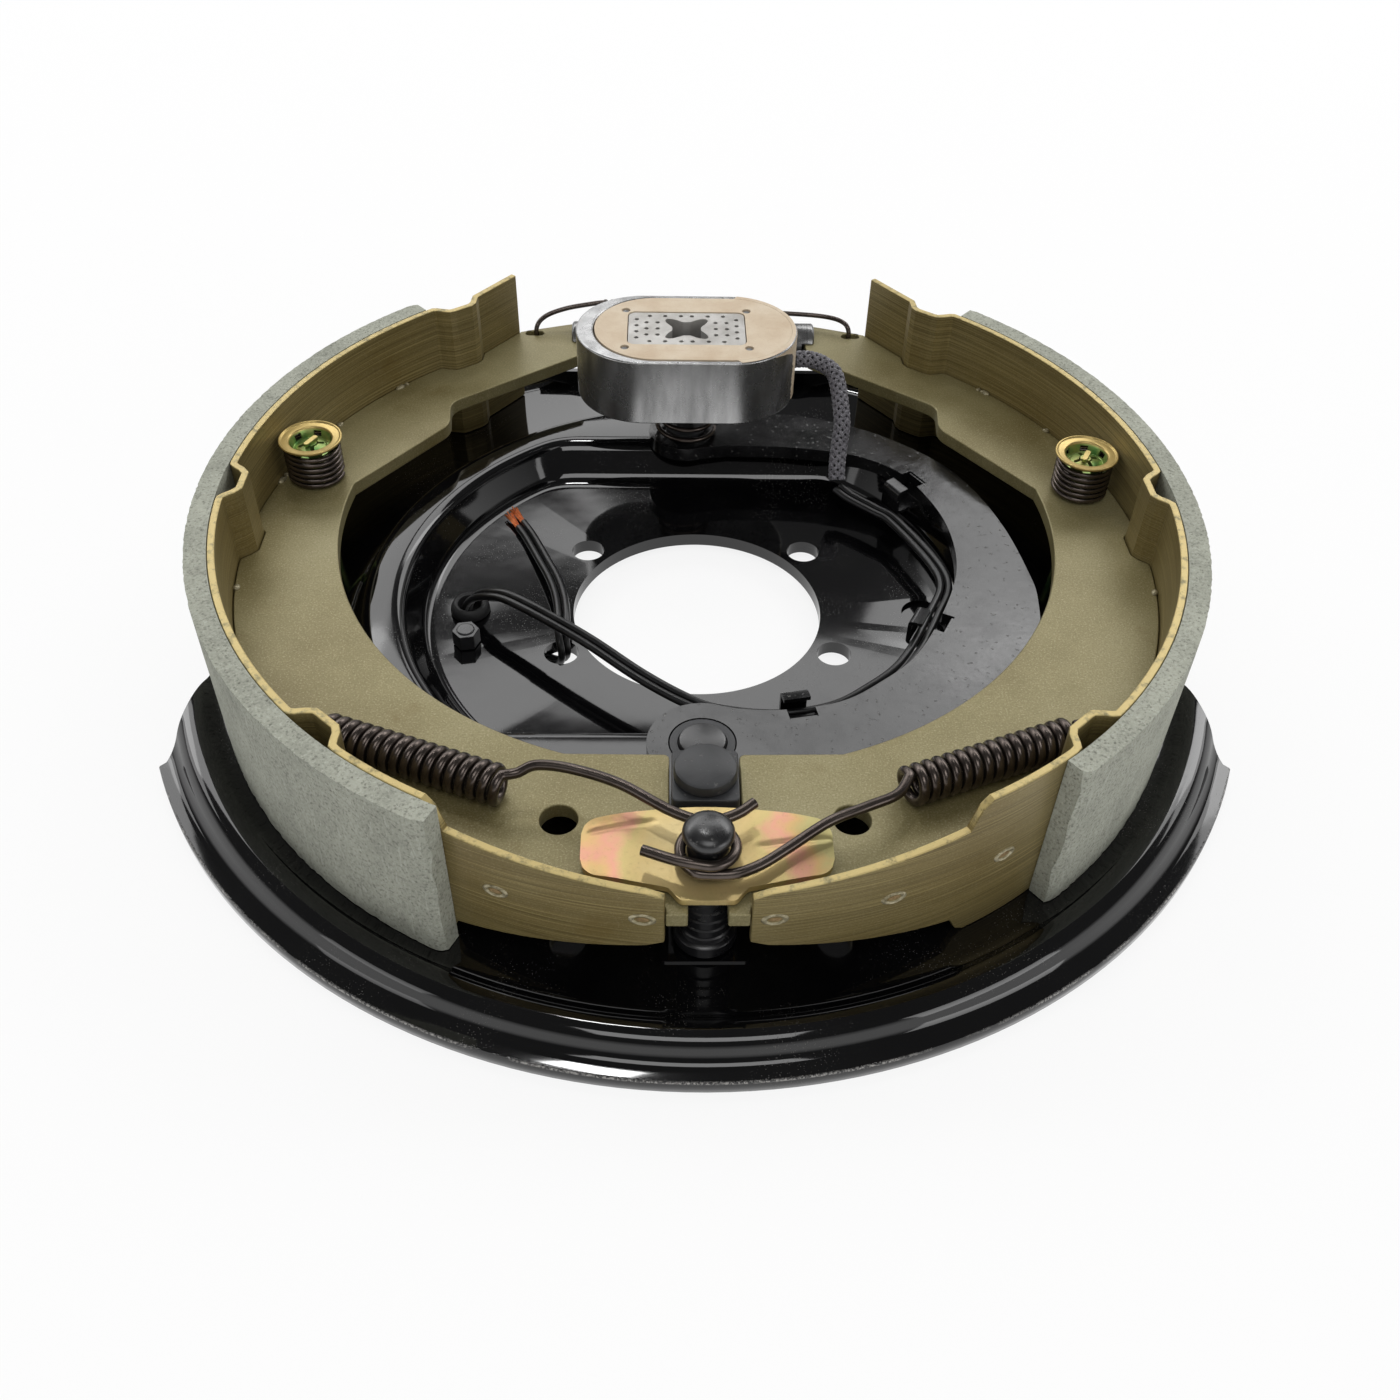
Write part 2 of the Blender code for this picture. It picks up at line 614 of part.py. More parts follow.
def plate_outline():
    """Outer edge: a full rim at the anchor side, straight flanks, a smaller far side."""
    start = -math.degrees(math.acos((RIM_RADIUS - FLANK_TIP_INSET) / RIM_RADIUS))
    near = arc_points((0.0, 0.0), RIM_RADIUS + PLATE_THICK, -180 - start, start, 30)
    far = arc_points((0.0, 0.0), TRACK_OUTER - FAR_EDGE_INSET, -6.0, 186.0, 32)
    near_x = RIM_RADIUS - FLANK_INSET
    far_x = RIM_RADIUS - FLANK_FAR_INSET
    right = [(near_x, FLANK_NEAR_Y), (far_x, FLANK_FAR_Y)]
    left = [(-far_x, FLANK_FAR_Y), (-near_x, FLANK_NEAR_Y)]
    return near + right + far + left


def plate_holes():
    """Every hole through the plate, and the dimple, as one cutter."""
    top = RING_TOP
    low = -PLATE_THICK
    cutters = []
    for angle in BOLT_ANGLES:
        x, y = arc_points((0.0, 0.0), BOLT_CIRCLE, angle, angle, 1)[0]
        cutters.append(rod_shape((x, y), BOLT_HOLE_RADIUS, low, top, 16))
    cutters.append(rod_shape((-WIRE_HOLE_X, WIRE_HOLE_Y), WIRE_HOLE_RADIUS, low, top, 16))
    cutters.append(rod_shape((WIRE_HOLE_X, WIRE_HOLE_Y), WIRE_HOLE_RADIUS,
                             DISC_TOP - DIMPLE_DEPTH, top, 16))
    cutters.append(rod_shape((STUD_HOLE_X, STUD_HOLE_Y), STUD_HOLE_RADIUS, low, top, 12))
    cutters.append(rod_shape((-STUD_HOLE_X, STUD_HOLE_Y), STUD_HOLE_RADIUS - 0.0012, low, top, 12))
    for side in (1, -1):
        cutters.append(rod_shape(HOLD_PLACES[side], HOLD_PIN_RADIUS + PIN_GAP, low, top, 12))
    cutters.append(rod_shape((0.0, ANCHOR_Y), ANCHOR_FOOT_RADIUS + PIN_GAP, low, top, 16))
    cutters.append(rod_shape((0.0, PIVOT_Y), PIVOT_FOOT_RADIUS + PIN_GAP, low, 2 * top, 16))
    slot = rounded_outline((SLOT_X, ADJUSTER_Y), SLOT_LENGTH, SLOT_WIDTH, SLOT_WIDTH / 2, 4)
    cutters.append(plate_shape(slot, low, top))
    return join_shapes(cutters)


def build_backing_plate(material):
    """The pressed plate that bolts to the axle flange and carries everything."""
    shape = turned_shape(plate_profile(), (0.0, 0.0), PLATE_STEPS)
    straighten_walls(shape)
    shape = combine(shape, plate_shape(plate_outline(), -PLATE_THICK, RING_TOP * 2), "INTERSECT")
    near_y = ANCHOR_Y - ANCHOR_BASE_RADIUS
    seat = [(-SEAT_WIDTH / 2, near_y), (SEAT_WIDTH / 2, near_y),
            (SEAT_WIDTH / 2 - 0.002, near_y + SEAT_DEPTH), (0.002 - SEAT_WIDTH / 2, near_y + SEAT_DEPTH)]
    shape = combine(shape, plate_shape(seat, TRACK_TOP - 0.002, TRACK_TOP + SEAT_RISE), "UNION")
    shape = combine(shape, plate_holes(), "DIFFERENCE")
    return add_piece("backing_plate", shape, material)


def build_anchor_post(material):
    """Shouldered stud that both shoes bear on, riveted under the plate."""
    seat = TRACK_TOP + SEAT_RISE + GAP
    shoulder = GUIDE_LOW - GAP
    neck_top = ANCHOR_TOP - ANCHOR_HEAD_HEIGHT
    groove = 0.0008
    profile = [(0.0, GAP), (ANCHOR_FOOT_RADIUS + 0.0028, GAP),
               (ANCHOR_FOOT_RADIUS + 0.0028, TRACK_LOW - GAP), (ANCHOR_FOOT_RADIUS, TRACK_LOW - GAP),
               (ANCHOR_FOOT_RADIUS, seat), (ANCHOR_BASE_RADIUS, seat),
               (ANCHOR_BASE_RADIUS, seat + ANCHOR_BASE_HEIGHT),
               (ANCHOR_RADIUS, seat + ANCHOR_BASE_HEIGHT)]
    for index in range(2):
        height = seat + ANCHOR_BASE_HEIGHT + 0.003 * (index + 1)
        profile += [(ANCHOR_RADIUS, height), (ANCHOR_RADIUS - groove, height + groove),
                    (ANCHOR_RADIUS, height + 2 * groove)]
    profile += [(ANCHOR_RADIUS, shoulder), (ANCHOR_NECK_RADIUS, shoulder),
                (ANCHOR_NECK_RADIUS, neck_top), (ANCHOR_HEAD_RADIUS, neck_top + 0.0006),
                (ANCHOR_HEAD_RADIUS, neck_top + 0.0018), (ANCHOR_HEAD_RADIUS * 0.86, neck_top + 0.0031),
                (ANCHOR_HEAD_RADIUS * 0.5, neck_top + 0.0039), (0.0, ANCHOR_TOP)]
    return add_piece("anchor_post", turned_shape(profile, (0.0, ANCHOR_Y), 14), material)


def guide_section(x):
    """Section of the guide plate across Y at one distance from the post."""
    past = max(0.0, abs(x) - (GUIDE_HALF_WIDTH - GUIDE_CORNER))
    corner = GUIDE_CORNER - math.sqrt(max(0.0, GUIDE_CORNER ** 2 - past ** 2))
    nose = math.cos(min(abs(x) / GUIDE_NOSE_HALF, 1.0) * math.pi / 2) ** 1.5
    far = ANCHOR_Y + GUIDE_FAR_REACH - GUIDE_RISE * (x / GUIDE_HALF_WIDTH) ** 2 / 2 - corner
    near = ANCHOR_Y - GUIDE_NEAR_REACH - (GUIDE_NOSE_REACH - GUIDE_NEAR_REACH) * nose + corner
    fold = ANCHOR_Y + GUIDE_NEAR_REACH + corner
    line = [(far, GUIDE_LOW + GUIDE_RISE), (fold, GUIDE_LOW + GUIDE_RISE * 0.72), (near, GUIDE_LOW)]
    low = [(x, y, z) for y, z in line]
    high = [(x, y, z + GUIDE_THICK) for y, z in reversed(line)]
    return low + high


def build_anchor_plate(material):
    """Thin plated guide plate that keeps the web ends down at the post."""
    half = [GUIDE_NOSE_HALF * index / 5 for index in range(6)]
    half += [GUIDE_HALF_WIDTH - GUIDE_CORNER * (1 - share) for share in (0.0, 0.5, 0.87, 0.99)]
    stations = [-x for x in reversed(half[1:])] + half
    shape = lofted_shape([guide_section(x) for x in stations])
    hole = rod_shape((0.0, ANCHOR_Y), ANCHOR_NECK_RADIUS + PIN_GAP, GUIDE_LOW - 0.01, GUIDE_LOW + 0.01)
    return add_piece("anchor_plate", combine(shape, hole, "DIFFERENCE"), material)


def dent_depth(angle):
    """How far the shoe table is pressed inwards at an angle from the anchor."""
    for centre in DENT_ANGLES:
        share = abs(angle - centre) / DENT_HALF_ANGLE
        if share < 1.0:
            return DENT_DEPTH * min(1.0, 1.9 * (1 - share))
    return 0.0


def table_line(side):
    """Outer line of a shoe table in plan, from the anchor end to the adjuster end."""
    start = math.degrees(math.asin(TABLE_NEAR_X / TABLE_RADIUS))
    stops = [start, 9.0, 14.0, 20.0, TABLE_STEP_ANGLE, TABLE_STEP_ANGLE + 0.1, 31.0, 35.5]
    for centre in DENT_ANGLES:
        stops += [centre + share * DENT_HALF_ANGLE for share in (-1.0, -0.47, -0.2, 0.2, 0.47, 1.0)]
    stops += [51.0, 56.0, 62.0, 68.0, 74.0, 80.0, 99.0, 105.0, 111.0, 117.0, 123.0, 129.0, 135.0]
    points = []
    for angle in sorted(stops):
        radius = TABLE_RADIUS - dent_depth(angle)
        turn = math.radians(angle)
        points.append((angle, side * radius * math.sin(turn), -radius * math.cos(turn)))
    points.append((150.0, side * TABLE_END_X, TABLE_END_Y))
    return points


def table_heights(angle):
    """Lower and upper edge of the table at an angle from the anchor."""
    if angle > TABLE_STEP_ANGLE + 0.05:
        return SHOE_LOW, SHOE_TOP
    start = math.degrees(math.asin(TABLE_NEAR_X / TABLE_RADIUS))
    share = (TABLE_STEP_ANGLE - angle) / (TABLE_STEP_ANGLE - start)
    low = TABLE_STEP_LOW + (TABLE_TIP_LOW - TABLE_STEP_LOW) * share
    top = TABLE_STEP_TOP + (TABLE_TIP_TOP - TABLE_STEP_TOP) * share
    return SHOE_LOW + low, SHOE_TOP - top


def inner_table_line(side, depth):
    """The table's line moved inwards by a depth, as x and y."""
    line = [(x, y) for _, x, y in table_line(side)]
    return offset_line(line, -side * depth)


def build_table(name, side, material, parent):
    """Curved rim of a shoe, with its pressed dents and its narrow anchor end."""
    outer = table_line(side)
    inner = inner_table_line(side, TABLE_THICK)
    sections = []
    for (angle, x, y), (inner_x, inner_y) in zip(outer, inner):
        low, top = table_heights(angle)
        sections.append(((x, y, low), (x, y, top), (inner_x, inner_y, top), (inner_x, inner_y, low)))
    return add_piece(name, lofted_shape(sections), material, parent)


def web_outline(side):
    """Plan of a shoe web: notch at the post, round inner edge, heel at the adjuster."""
    notch = ANCHOR_RADIUS + GAP
    low_angle = -math.degrees(math.acos(WEB_TIP_X / notch))
    points = [(WEB_TIP_X + WEB_TIP_WIDTH, WEB_TIP_Y), (WEB_TIP_X, WEB_TIP_Y)]
    points += arc_points((0.0, ANCHOR_Y), notch, low_angle, 32.0, 6)
    points += [(WEB_NEAR_X, WEB_SHOULDER_Y), (WEB_NEAR_X, WEB_NEAR_Y)]
    centre = (0.0, WEB_INNER_CENTRE_Y)
    start = math.degrees(math.asin((WEB_NEAR_Y - WEB_INNER_CENTRE_Y) / WEB_INNER_RADIUS))
    end = math.degrees(math.asin((WEB_CORNER_Y - WEB_INNER_CENTRE_Y) / WEB_INNER_RADIUS))
    points += arc_points(centre, WEB_INNER_RADIUS, start, end, 14)
    corner = WEB_HEEL_CORNER
    points += [WEB_KNEE, WEB_STEP, (WEB_HEEL_X + corner, WEB_HEEL_Y), (WEB_HEEL_X, WEB_HEEL_Y + corner)]
    outer = [(abs(x), y) for x, y in inner_table_line(side, TABLE_THICK + GAP)]
    last = Vector(outer[-1])
    toe = last.y + WEB_HEEL_TOE
    points += [(WEB_HEEL_X, toe), (WEB_HEEL_X + WEB_HEEL_RUN, toe - corner)]
    points += list(reversed(outer))
    points = [(side * x, y) for x, y in points]
    return points


def web_holes(side):
    """Holes of a web: tool hole, spring hole, hold-down hole and adjuster spring slot."""
    low = WEB_LOW - 0.01
    top = WEB_TOP + 0.01
    cutters = [rod_shape((side * WEB_TOOL_HOLE[0], WEB_TOOL_HOLE[1]), WEB_TOOL_RADIUS, low, top, 16),
               rod_shape((side * SPRING_HOLE[0], SPRING_HOLE[1]), SPRING_HOLE_RADIUS, low, top, 12),
               rod_shape(HOLD_PLACES[side], HOLD_WEB_HOLE_RADIUS, low, top, 12)]
    slot = rounded_outline((side * HOOK_SLOT_X, HOOK_SLOT_Y), HOOK_SLOT_LENGTH, HOOK_SLOT_WIDTH,
                           HOOK_SLOT_WIDTH / 2, 3)
    cutters.append(plate_shape(slot, low, top))
    return join_shapes(cutters)


def build_web(name, side, material, parent):
    """Flat steel web of a shoe."""
    shape = plate_shape(web_outline(side), WEB_LOW, WEB_TOP)
    return add_piece(name, combine(shape, web_holes(side), "DIFFERENCE"), material, parent)


def build_lining(name, side, ends, material, parent):
    """Bonded friction lining on the outside of a table."""
    steps = round((ends[1] - ends[0]) / 4.0)
    sections = []
    for index in range(steps + 1):
        angle = math.radians(ends[0] + (ends[1] - ends[0]) * index / steps)
        chamfer = 0.0015 if index in (0, steps) else 0.0
        ring = []
        for radius, height in ((LINING_INNER, SHOE_LOW), (LINING_RADIUS - chamfer, SHOE_LOW),
                               (LINING_RADIUS - chamfer, SHOE_TOP), (LINING_INNER, SHOE_TOP)):
            ring.append((side * radius * math.sin(angle), -radius * math.cos(angle), height))
        sections.append(ring)
    return add_piece(name, lofted_shape(sections), material, parent)


def helix_points(start, end, radius, turns, per_turn, phase=0.0, end_radius=None):
    """Points of a coil from start to end, with an even pitch."""
    axis = Vector(end) - Vector(start)
    along = axis.normalized()
    side = along.cross(Vector((0.0, 0.0, 1.0)))
    if side.length < 0.1:
        side = Vector((1.0, 0.0, 0.0))
    side.normalize()
    up = side.cross(along)
    count = round(turns * per_turn)
    points = []
    for index in range(count + 1):
        share = index / count
        angle = 2 * math.pi * turns * share + phase
        reach = radius + ((end_radius or radius) - radius) * share
        spot = Vector(start) + axis * share
        points.append(spot + side * (reach * math.cos(angle)) + up * (reach * math.sin(angle)))
    return points


def build_hold_down(label, side, steel, plated):
    """Pin, coil spring and slotted cup that hold a shoe against the plate."""
    centre = HOLD_PLACES[side]
    coil_low = WEB_TOP + GAP + HOLD_WIRE / 2
    coil_top = coil_low + HOLD_TURNS * HOLD_PITCH
    cup_low = coil_top + HOLD_WIRE / 2 + GAP
    cup_top = cup_low + HOLD_CUP_HEIGHT
    inner = HOLD_PIN_RADIUS + PIN_GAP
    floor = HOLD_COIL_RADIUS + HOLD_WIRE / 2
    profile = [(inner, cup_low), (floor, cup_low), (HOLD_CUP_RADIUS, cup_low + 0.0015),
               (HOLD_CUP_RADIUS, cup_top), (HOLD_CUP_RADIUS - HOLD_CUP_THICK, cup_top),
               (HOLD_CUP_RADIUS - HOLD_CUP_THICK, cup_low + 0.0020), (inner, cup_low + HOLD_CUP_THICK)]
    add_piece(f"hold_down_cup_{label}", turned_shape(profile, centre, 16), plated)
    blade = cup_low + HOLD_CUP_THICK + GAP
    pin = [(0.0, 0.0001), (HOLD_PIN_HEAD_RADIUS, 0.0001), (HOLD_PIN_HEAD_RADIUS, HOLD_PIN_HEAD),
           (HOLD_PIN_RADIUS, HOLD_PIN_HEAD), (HOLD_PIN_RADIUS, blade),
           (HOLD_PIN_RADIUS + 0.0012, blade), (HOLD_PIN_RADIUS + 0.0008, cup_top - 0.0008),
           (0.0, cup_top - 0.0008)]
    add_piece(f"hold_down_pin_{label}", turned_shape(pin, centre, 12), plated)
    points = helix_points((*centre, coil_low), (*centre, coil_top), HOLD_COIL_RADIUS, HOLD_TURNS, 8)
    add_wire(f"hold_down_spring_{label}", points, HOLD_WIRE, steel, None, 0)


def lever_outline():
    """Plan of the lever: tail under the block, lobe at the pivot, crescent, magnet end."""
    points = arc_points((0.0, BLOCK_Y), LEVER_TAIL_RADIUS, -10.0, -170.0, 8)
    points += arc_points((0.0, PIVOT_Y), LOBE_RADIUS, 205.0, 80.0, 8)
    inner = [(0.0085, PIVOT_Y + LOBE_RADIUS * 0.86)] + list(LEVER_INNER)
    points += [tuple(point) for point in smooth_points(inner, 2)[1:]]
    points += arc_points((MAGNET_X, MAGNET_Y), LEVER_END_RADIUS, -60.0, -270.0, 10)[1:]
    points += [tuple(point) for point in smooth_points(LEVER_OUTER, 2)]
    return points


def tab_shape(x, y, heading):
    """A hook under the lever's inner edge that holds the leads."""
    drop = TAB_DROP
    back = -TAB_INSET
    leg = back + TAB_THICK
    reach = LEAD_SPACING + LEAD_DIAMETER + 2 * LEAD_PLAY
    profile = [(back, 0.002), (leg, 0.002), (leg, TAB_THICK - drop), (reach, TAB_THICK - drop),
               (reach, -drop), (back, -drop)]
    sections = []
    for along in (-TAB_WIDTH / 2, TAB_WIDTH / 2):
        sections.append([(out, along, LEVER_LOW + height) for out, height in profile])
    shape = lofted_shape(sections)
    place = Matrix.Translation((x, y, 0.0)) @ Matrix.Rotation(math.radians(heading), 4, "Z")
    bmesh.ops.transform(shape, matrix=place, verts=shape.verts)
    return shape


def build_lever(material, parent):
    """Flat crescent arm from the block, round the hub hole, to the magnet."""
    shape = plate_shape(lever_outline(), LEVER_LOW, LEVER_TOP)
    low = LEVER_LOW - 0.02
    top = LEVER_TOP + 0.02
    holes = [rod_shape((0.0, PIVOT_Y), BUSH_RADIUS + PIN_GAP, low, top, 24),
             rod_shape((0.0, BLOCK_Y), BLOCK_PIN_RADIUS + PIN_GAP, low, top, 16),
             rod_shape((MAGNET_X, MAGNET_Y), STUD_RADIUS + PIN_GAP, low, top, 12)]
    shape = combine(shape, join_shapes(holes), "DIFFERENCE")
    for (x, y), heading in zip(ring_points(TAB_ANGLES, TAB_OFFSETS), TAB_HEADING_ANGLES):
        shape = combine(shape, tab_shape(x, y, heading), "UNION")
    return add_piece("actuating_lever", shape, material, parent)


def build_pivot(steel, bronze, lever_axis):
    """Fixed pin that the lever swings on, and the bush pressed in the lever."""
    seat = RING_TOP + GAP
    under = RING_TOP - PLATE_THICK - GAP
    foot = PIVOT_FOOT_RADIUS + 0.0013
    profile = [(0.0, under - RIVET_HEIGHT), (foot, under - RIVET_HEIGHT), (foot, under),
               (PIVOT_FOOT_RADIUS, under), (PIVOT_FOOT_RADIUS, seat), (PIVOT_RADIUS, seat),
               (PIVOT_RADIUS, LEVER_TOP + PIVOT_PROUD - 0.0004),
               (PIVOT_RADIUS - 0.0004, LEVER_TOP + PIVOT_PROUD), (0.0, LEVER_TOP + PIVOT_PROUD)]
    add_piece("pivot_pin", turned_shape(profile, (0.0, PIVOT_Y), 24), steel)
    inner = PIVOT_RADIUS + PIN_GAP
    ring = [(inner, LEVER_LOW), (BUSH_RADIUS, LEVER_LOW), (BUSH_RADIUS, LEVER_TOP), (inner, LEVER_TOP)]
    add_piece("pivot_bush", turned_shape(ring, (0.0, PIVOT_Y), 24), bronze, lever_axis)


def build_block(material, lever_axis, block_axis):
    """Square block that pushes the shoes apart, and the headed pin that holds it."""
    low = LEVER_TOP + GAP
    outline = rounded_outline((0.0, BLOCK_Y), BLOCK_WIDTH, BLOCK_DEPTH, 0.0015, 2)
    shape = soften(plate_shape(outline, low, BLOCK_TOP), 0.0005)
    hole = rod_shape((0.0, BLOCK_Y), BLOCK_PIN_RADIUS + PIN_GAP, low - 0.01, BLOCK_TOP + 0.01, 16)
    add_piece("actuating_block", combine(shape, hole, "DIFFERENCE"), material, block_axis)
    head_low = BLOCK_TOP + GAP
    head_top = head_low + BLOCK_HEAD_HEIGHT
    profile = [(0.0, LEVER_LOW + GAP), (BLOCK_PIN_RADIUS, LEVER_LOW + GAP), (BLOCK_PIN_RADIUS, head_low),
               (BLOCK_HEAD_RADIUS, head_low), (BLOCK_HEAD_RADIUS, head_top - 0.0008),
               (BLOCK_HEAD_RADIUS - 0.0010, head_top), (0.0, head_top)]
    add_piece("block_pin", turned_shape(profile, (0.0, BLOCK_Y), 24), material, lever_axis)


def stadium(length, depth, shift=0.0, steps=6):
    """Outline with round ends, centred on the magnet stud."""
    return rounded_outline((MAGNET_X + shift, MAGNET_Y), length, depth, depth / 2, steps)


def star_outline():
    """Four-lobed hole in the core plate."""
    points = []
    for index in range(24):
        angle = 2 * math.pi * (index + 0.5) / 24
        reach = 0.0048 + 0.0045 * abs(math.sin(2 * angle)) ** 3
        points.append((MAGNET_X + reach * 1.05 * math.cos(angle),
                       MAGNET_Y + reach * 0.98 * math.sin(angle)))
    return points


def build_magnet(steel, tan, core_metal, copper, parent):
    """Steel case, coil, core with its perforated top, and tan friction face."""
    floor = MAGNET_LOW + MAGNET_FLOOR
    through = (MAGNET_X, MAGNET_Y)
    case = soften(plate_shape(stadium(MAGNET_LENGTH, MAGNET_DEPTH), MAGNET_LOW, MAGNET_TOP), 0.0006)
    pocket = plate_shape(stadium(FACE_LENGTH, FACE_DEPTH, FACE_SHIFT), floor, MAGNET_TOP + 0.01)
    case = combine(case, pocket, "DIFFERENCE")
    case = combine(case, rod_shape(through, STUD_RADIUS + PIN_GAP, MAGNET_LOW - 0.01, MAGNET_TOP, 16),
                   "DIFFERENCE")
    add_piece("magnet_case", case, steel, parent)
    core_outline = rounded_outline(through, CORE_LENGTH, CORE_DEPTH, CORE_CORNER, 3)
    core = plate_shape(core_outline, floor + GAP, MAGNET_TOP - GAP)
    core = combine(core, plate_shape(star_outline(), floor - 0.01, MAGNET_TOP + 0.01), "DIFFERENCE")
    add_piece("magnet_core", core, core_metal, parent)
    inner = 2 * GAP
    opening = rounded_outline(through, CORE_LENGTH + inner, CORE_DEPTH + inner, CORE_CORNER + GAP, 3)
    face_low = MAGNET_TOP - FACE_THICK
    face = plate_shape(stadium(FACE_LENGTH - inner, FACE_DEPTH - inner, FACE_SHIFT), face_low, MAGNET_TOP)
    face = combine(face, plate_shape(opening, face_low - 0.01, MAGNET_TOP + 0.01), "DIFFERENCE")
    add_piece("magnet_face", face, tan, parent)
    winding = stadium(FACE_LENGTH - 0.004, FACE_DEPTH - 0.004, FACE_SHIFT)
    coil = plate_shape(winding, floor + GAP, face_low - GAP)
    coil = combine(coil, plate_shape(opening, floor - 0.01, MAGNET_TOP), "DIFFERENCE")
    add_piece("magnet_coil", coil, copper, parent)


def build_magnet_stud(steel, spring_steel, lever_axis):
    """Stud on the lever end, its clip and the conical spring under the magnet."""
    flange_low = LEVER_TOP + GAP
    flange_top = flange_low + STUD_FLANGE_HEIGHT
    centre = (MAGNET_X, MAGNET_Y)
    profile = [(0.0, LEVER_LOW + GAP), (STUD_RADIUS, LEVER_LOW + GAP), (STUD_RADIUS, flange_low),
               (STUD_FLANGE_RADIUS, flange_low), (STUD_FLANGE_RADIUS, flange_top),
               (STUD_RADIUS, flange_top), (STUD_RADIUS, STUD_TOP - 0.0008),
               (STUD_RADIUS - 0.0008, STUD_TOP), (0.0, STUD_TOP)]
    add_piece("magnet_stud", turned_shape(profile, centre, 16), steel, lever_axis)
    low = LEVER_TOP + GAP + MAGNET_SPRING_WIRE / 2
    top = MAGNET_LOW - GAP - MAGNET_SPRING_WIRE / 2
    points = helix_points((*centre, low), (*centre, top), MAGNET_SPRING_LOW_RADIUS, MAGNET_SPRING_TURNS,
                          8, 0.0, MAGNET_SPRING_TOP_RADIUS)
    add_wire("magnet_spring", points, MAGNET_SPRING_WIRE, spring_steel, lever_axis, 0)


def coil_ends(side):
    """Start and end of a return spring's coil; it ends beside its hole in the web."""
    height = WEB_TOP + GAP + COIL_WIRE / 2 + COIL_RADIUS
    end_x = SPRING_HOLE[0] - COIL_END_X_INSET
    end_y = SPRING_HOLE[1] - COIL_END_Y_INSET
    back_x, back_y = polar(COIL_ANGLE, COIL_TURNS * COIL_PITCH)
    return (Vector((side * (end_x - back_x), end_y - back_y, height)),
            Vector((side * end_x, end_y, height)))


def hook_points(side, shares, bows, heights):
    """Points of a spring's long hook between the post and its coil."""
    start, _ = coil_ends(side)
    post = Vector((0.0, ANCHOR_Y, 0.0))
    way = Vector((start.x, start.y, 0.0)) - post
    sideways = Vector((-side * way.y, side * way.x, 0.0)).normalized()
    points = []
    for share, bow, height in zip(shares, bows, heights):
        spot = post + way * share + sideways * bow
        points.append((spot.x, spot.y, height))
    return points


def return_spring_line(side, hook):
    """Centre line of a return spring: web hook, close coil and long hook at the post."""
    start, end = coil_ends(side)
    coil = helix_points(start, end, COIL_RADIUS, COIL_TURNS, 6, math.radians(90))
    hole = Vector((side * SPRING_HOLE[0], SPRING_HOLE[1], WEB_LOW))
    above = WEB_TOP + COIL_WIRE / 2 + 0.0012
    tail = [coil[-1], (end.x + side * 0.0030, end.y + 0.0010, end.z + COIL_RADIUS * 0.72),
            (hole.x - side * 0.0004, hole.y - 0.0004, above + 0.0030), (hole.x, hole.y, above - 0.0010),
            (hole.x, hole.y, hole.z - 0.0006)]
    tail_line = even_points(smooth_points(tail, 6), COIL_WIRE)[1:]
    hook_line = even_points(smooth_points(list(hook) + [coil[0]], 6), COIL_WIRE)[:-1]
    return hook_line + coil + tail_line


def post_arc(radius, height, rise, start, end, steps):
    """Wire centre line round the post."""
    points = []
    for index, (x, y) in enumerate(arc_points((0.0, ANCHOR_Y), radius, start, end, steps)):
        points.append((x, y, height + rise * index / steps))
    return points


def build_return_springs(material, primary_axis, secondary_axis):
    """The two springs that pull the webs back against the post."""
    grip = ANCHOR_NECK_RADIUS + COIL_WIRE / 2 + 0.0003
    upper = ANCHOR_TOP - ANCHOR_HEAD_HEIGHT - COIL_WIRE / 2 - GAP
    lower = GUIDE_LOW + GUIDE_RISE + GUIDE_THICK + COIL_WIRE / 2 + GAP
    hook = [(2.27 * grip * 0.75, ANCHOR_Y + 1.74 * grip, upper + GAP),
            (1.09 * grip, ANCHOR_Y + 1.26 * grip, upper)]
    hook += post_arc(grip, upper, 0.0, 68.0, 112.0, 3)
    heights = [upper + rise for rise in SECONDARY_HOOK_RISES]
    hook += hook_points(-1, SECONDARY_HOOK_SHARES, SECONDARY_HOOK_BOWS, heights)
    line = return_spring_line(-1, hook)
    add_wire("return_spring_secondary", line, COIL_WIRE, material, secondary_axis)
    over = lower + COIL_WIRE + 0.0006
    hook = [(-2.32 * grip, ANCHOR_Y - 0.29 * grip, over), (-1.16 * grip, ANCHOR_Y - 0.75 * grip, over)]
    hook += post_arc(grip, over, lower - over, -105.0, 255.0, 16)
    heights = [lower + rise for rise in PRIMARY_HOOK_RISES]
    hook += hook_points(1, PRIMARY_HOOK_SHARES, PRIMARY_HOOK_BOWS, heights)
    line = return_spring_line(1, hook)
    add_wire("return_spring_primary", line, COIL_WIRE, material, primary_axis)


def turn_to_x(shape):
    """Lay a shape that was turned about Z along the adjuster's axis."""
    turn = Matrix.Rotation(math.radians(90), 4, "Y")
    place = Matrix.Translation((0.0, ADJUSTER_Y, ADJUSTER_Z)) @ turn
    bmesh.ops.transform(shape, matrix=place, verts=shape.verts)
    return shape


def fork_slot(side):
    """Cutter for the slot in an adjuster end that straddles the web."""
    width = WEB_THICK + 2 * GAP
    inner = side * (ADJUSTER_END_X - FORK_DEPTH - GAP)
    outer = side * (ADJUSTER_END_X + 0.002)
    low_x, high_x = sorted((inner, outer))
    reach = ADJUSTER_RADIUS + 0.002
    outline = [(low_x, ADJUSTER_Y - reach), (high_x, ADJUSTER_Y - reach),
               (high_x, ADJUSTER_Y + reach), (low_x, ADJUSTER_Y + reach)]
    return plate_shape(outline, ADJUSTER_Z - width / 2, ADJUSTER_Z + width / 2)


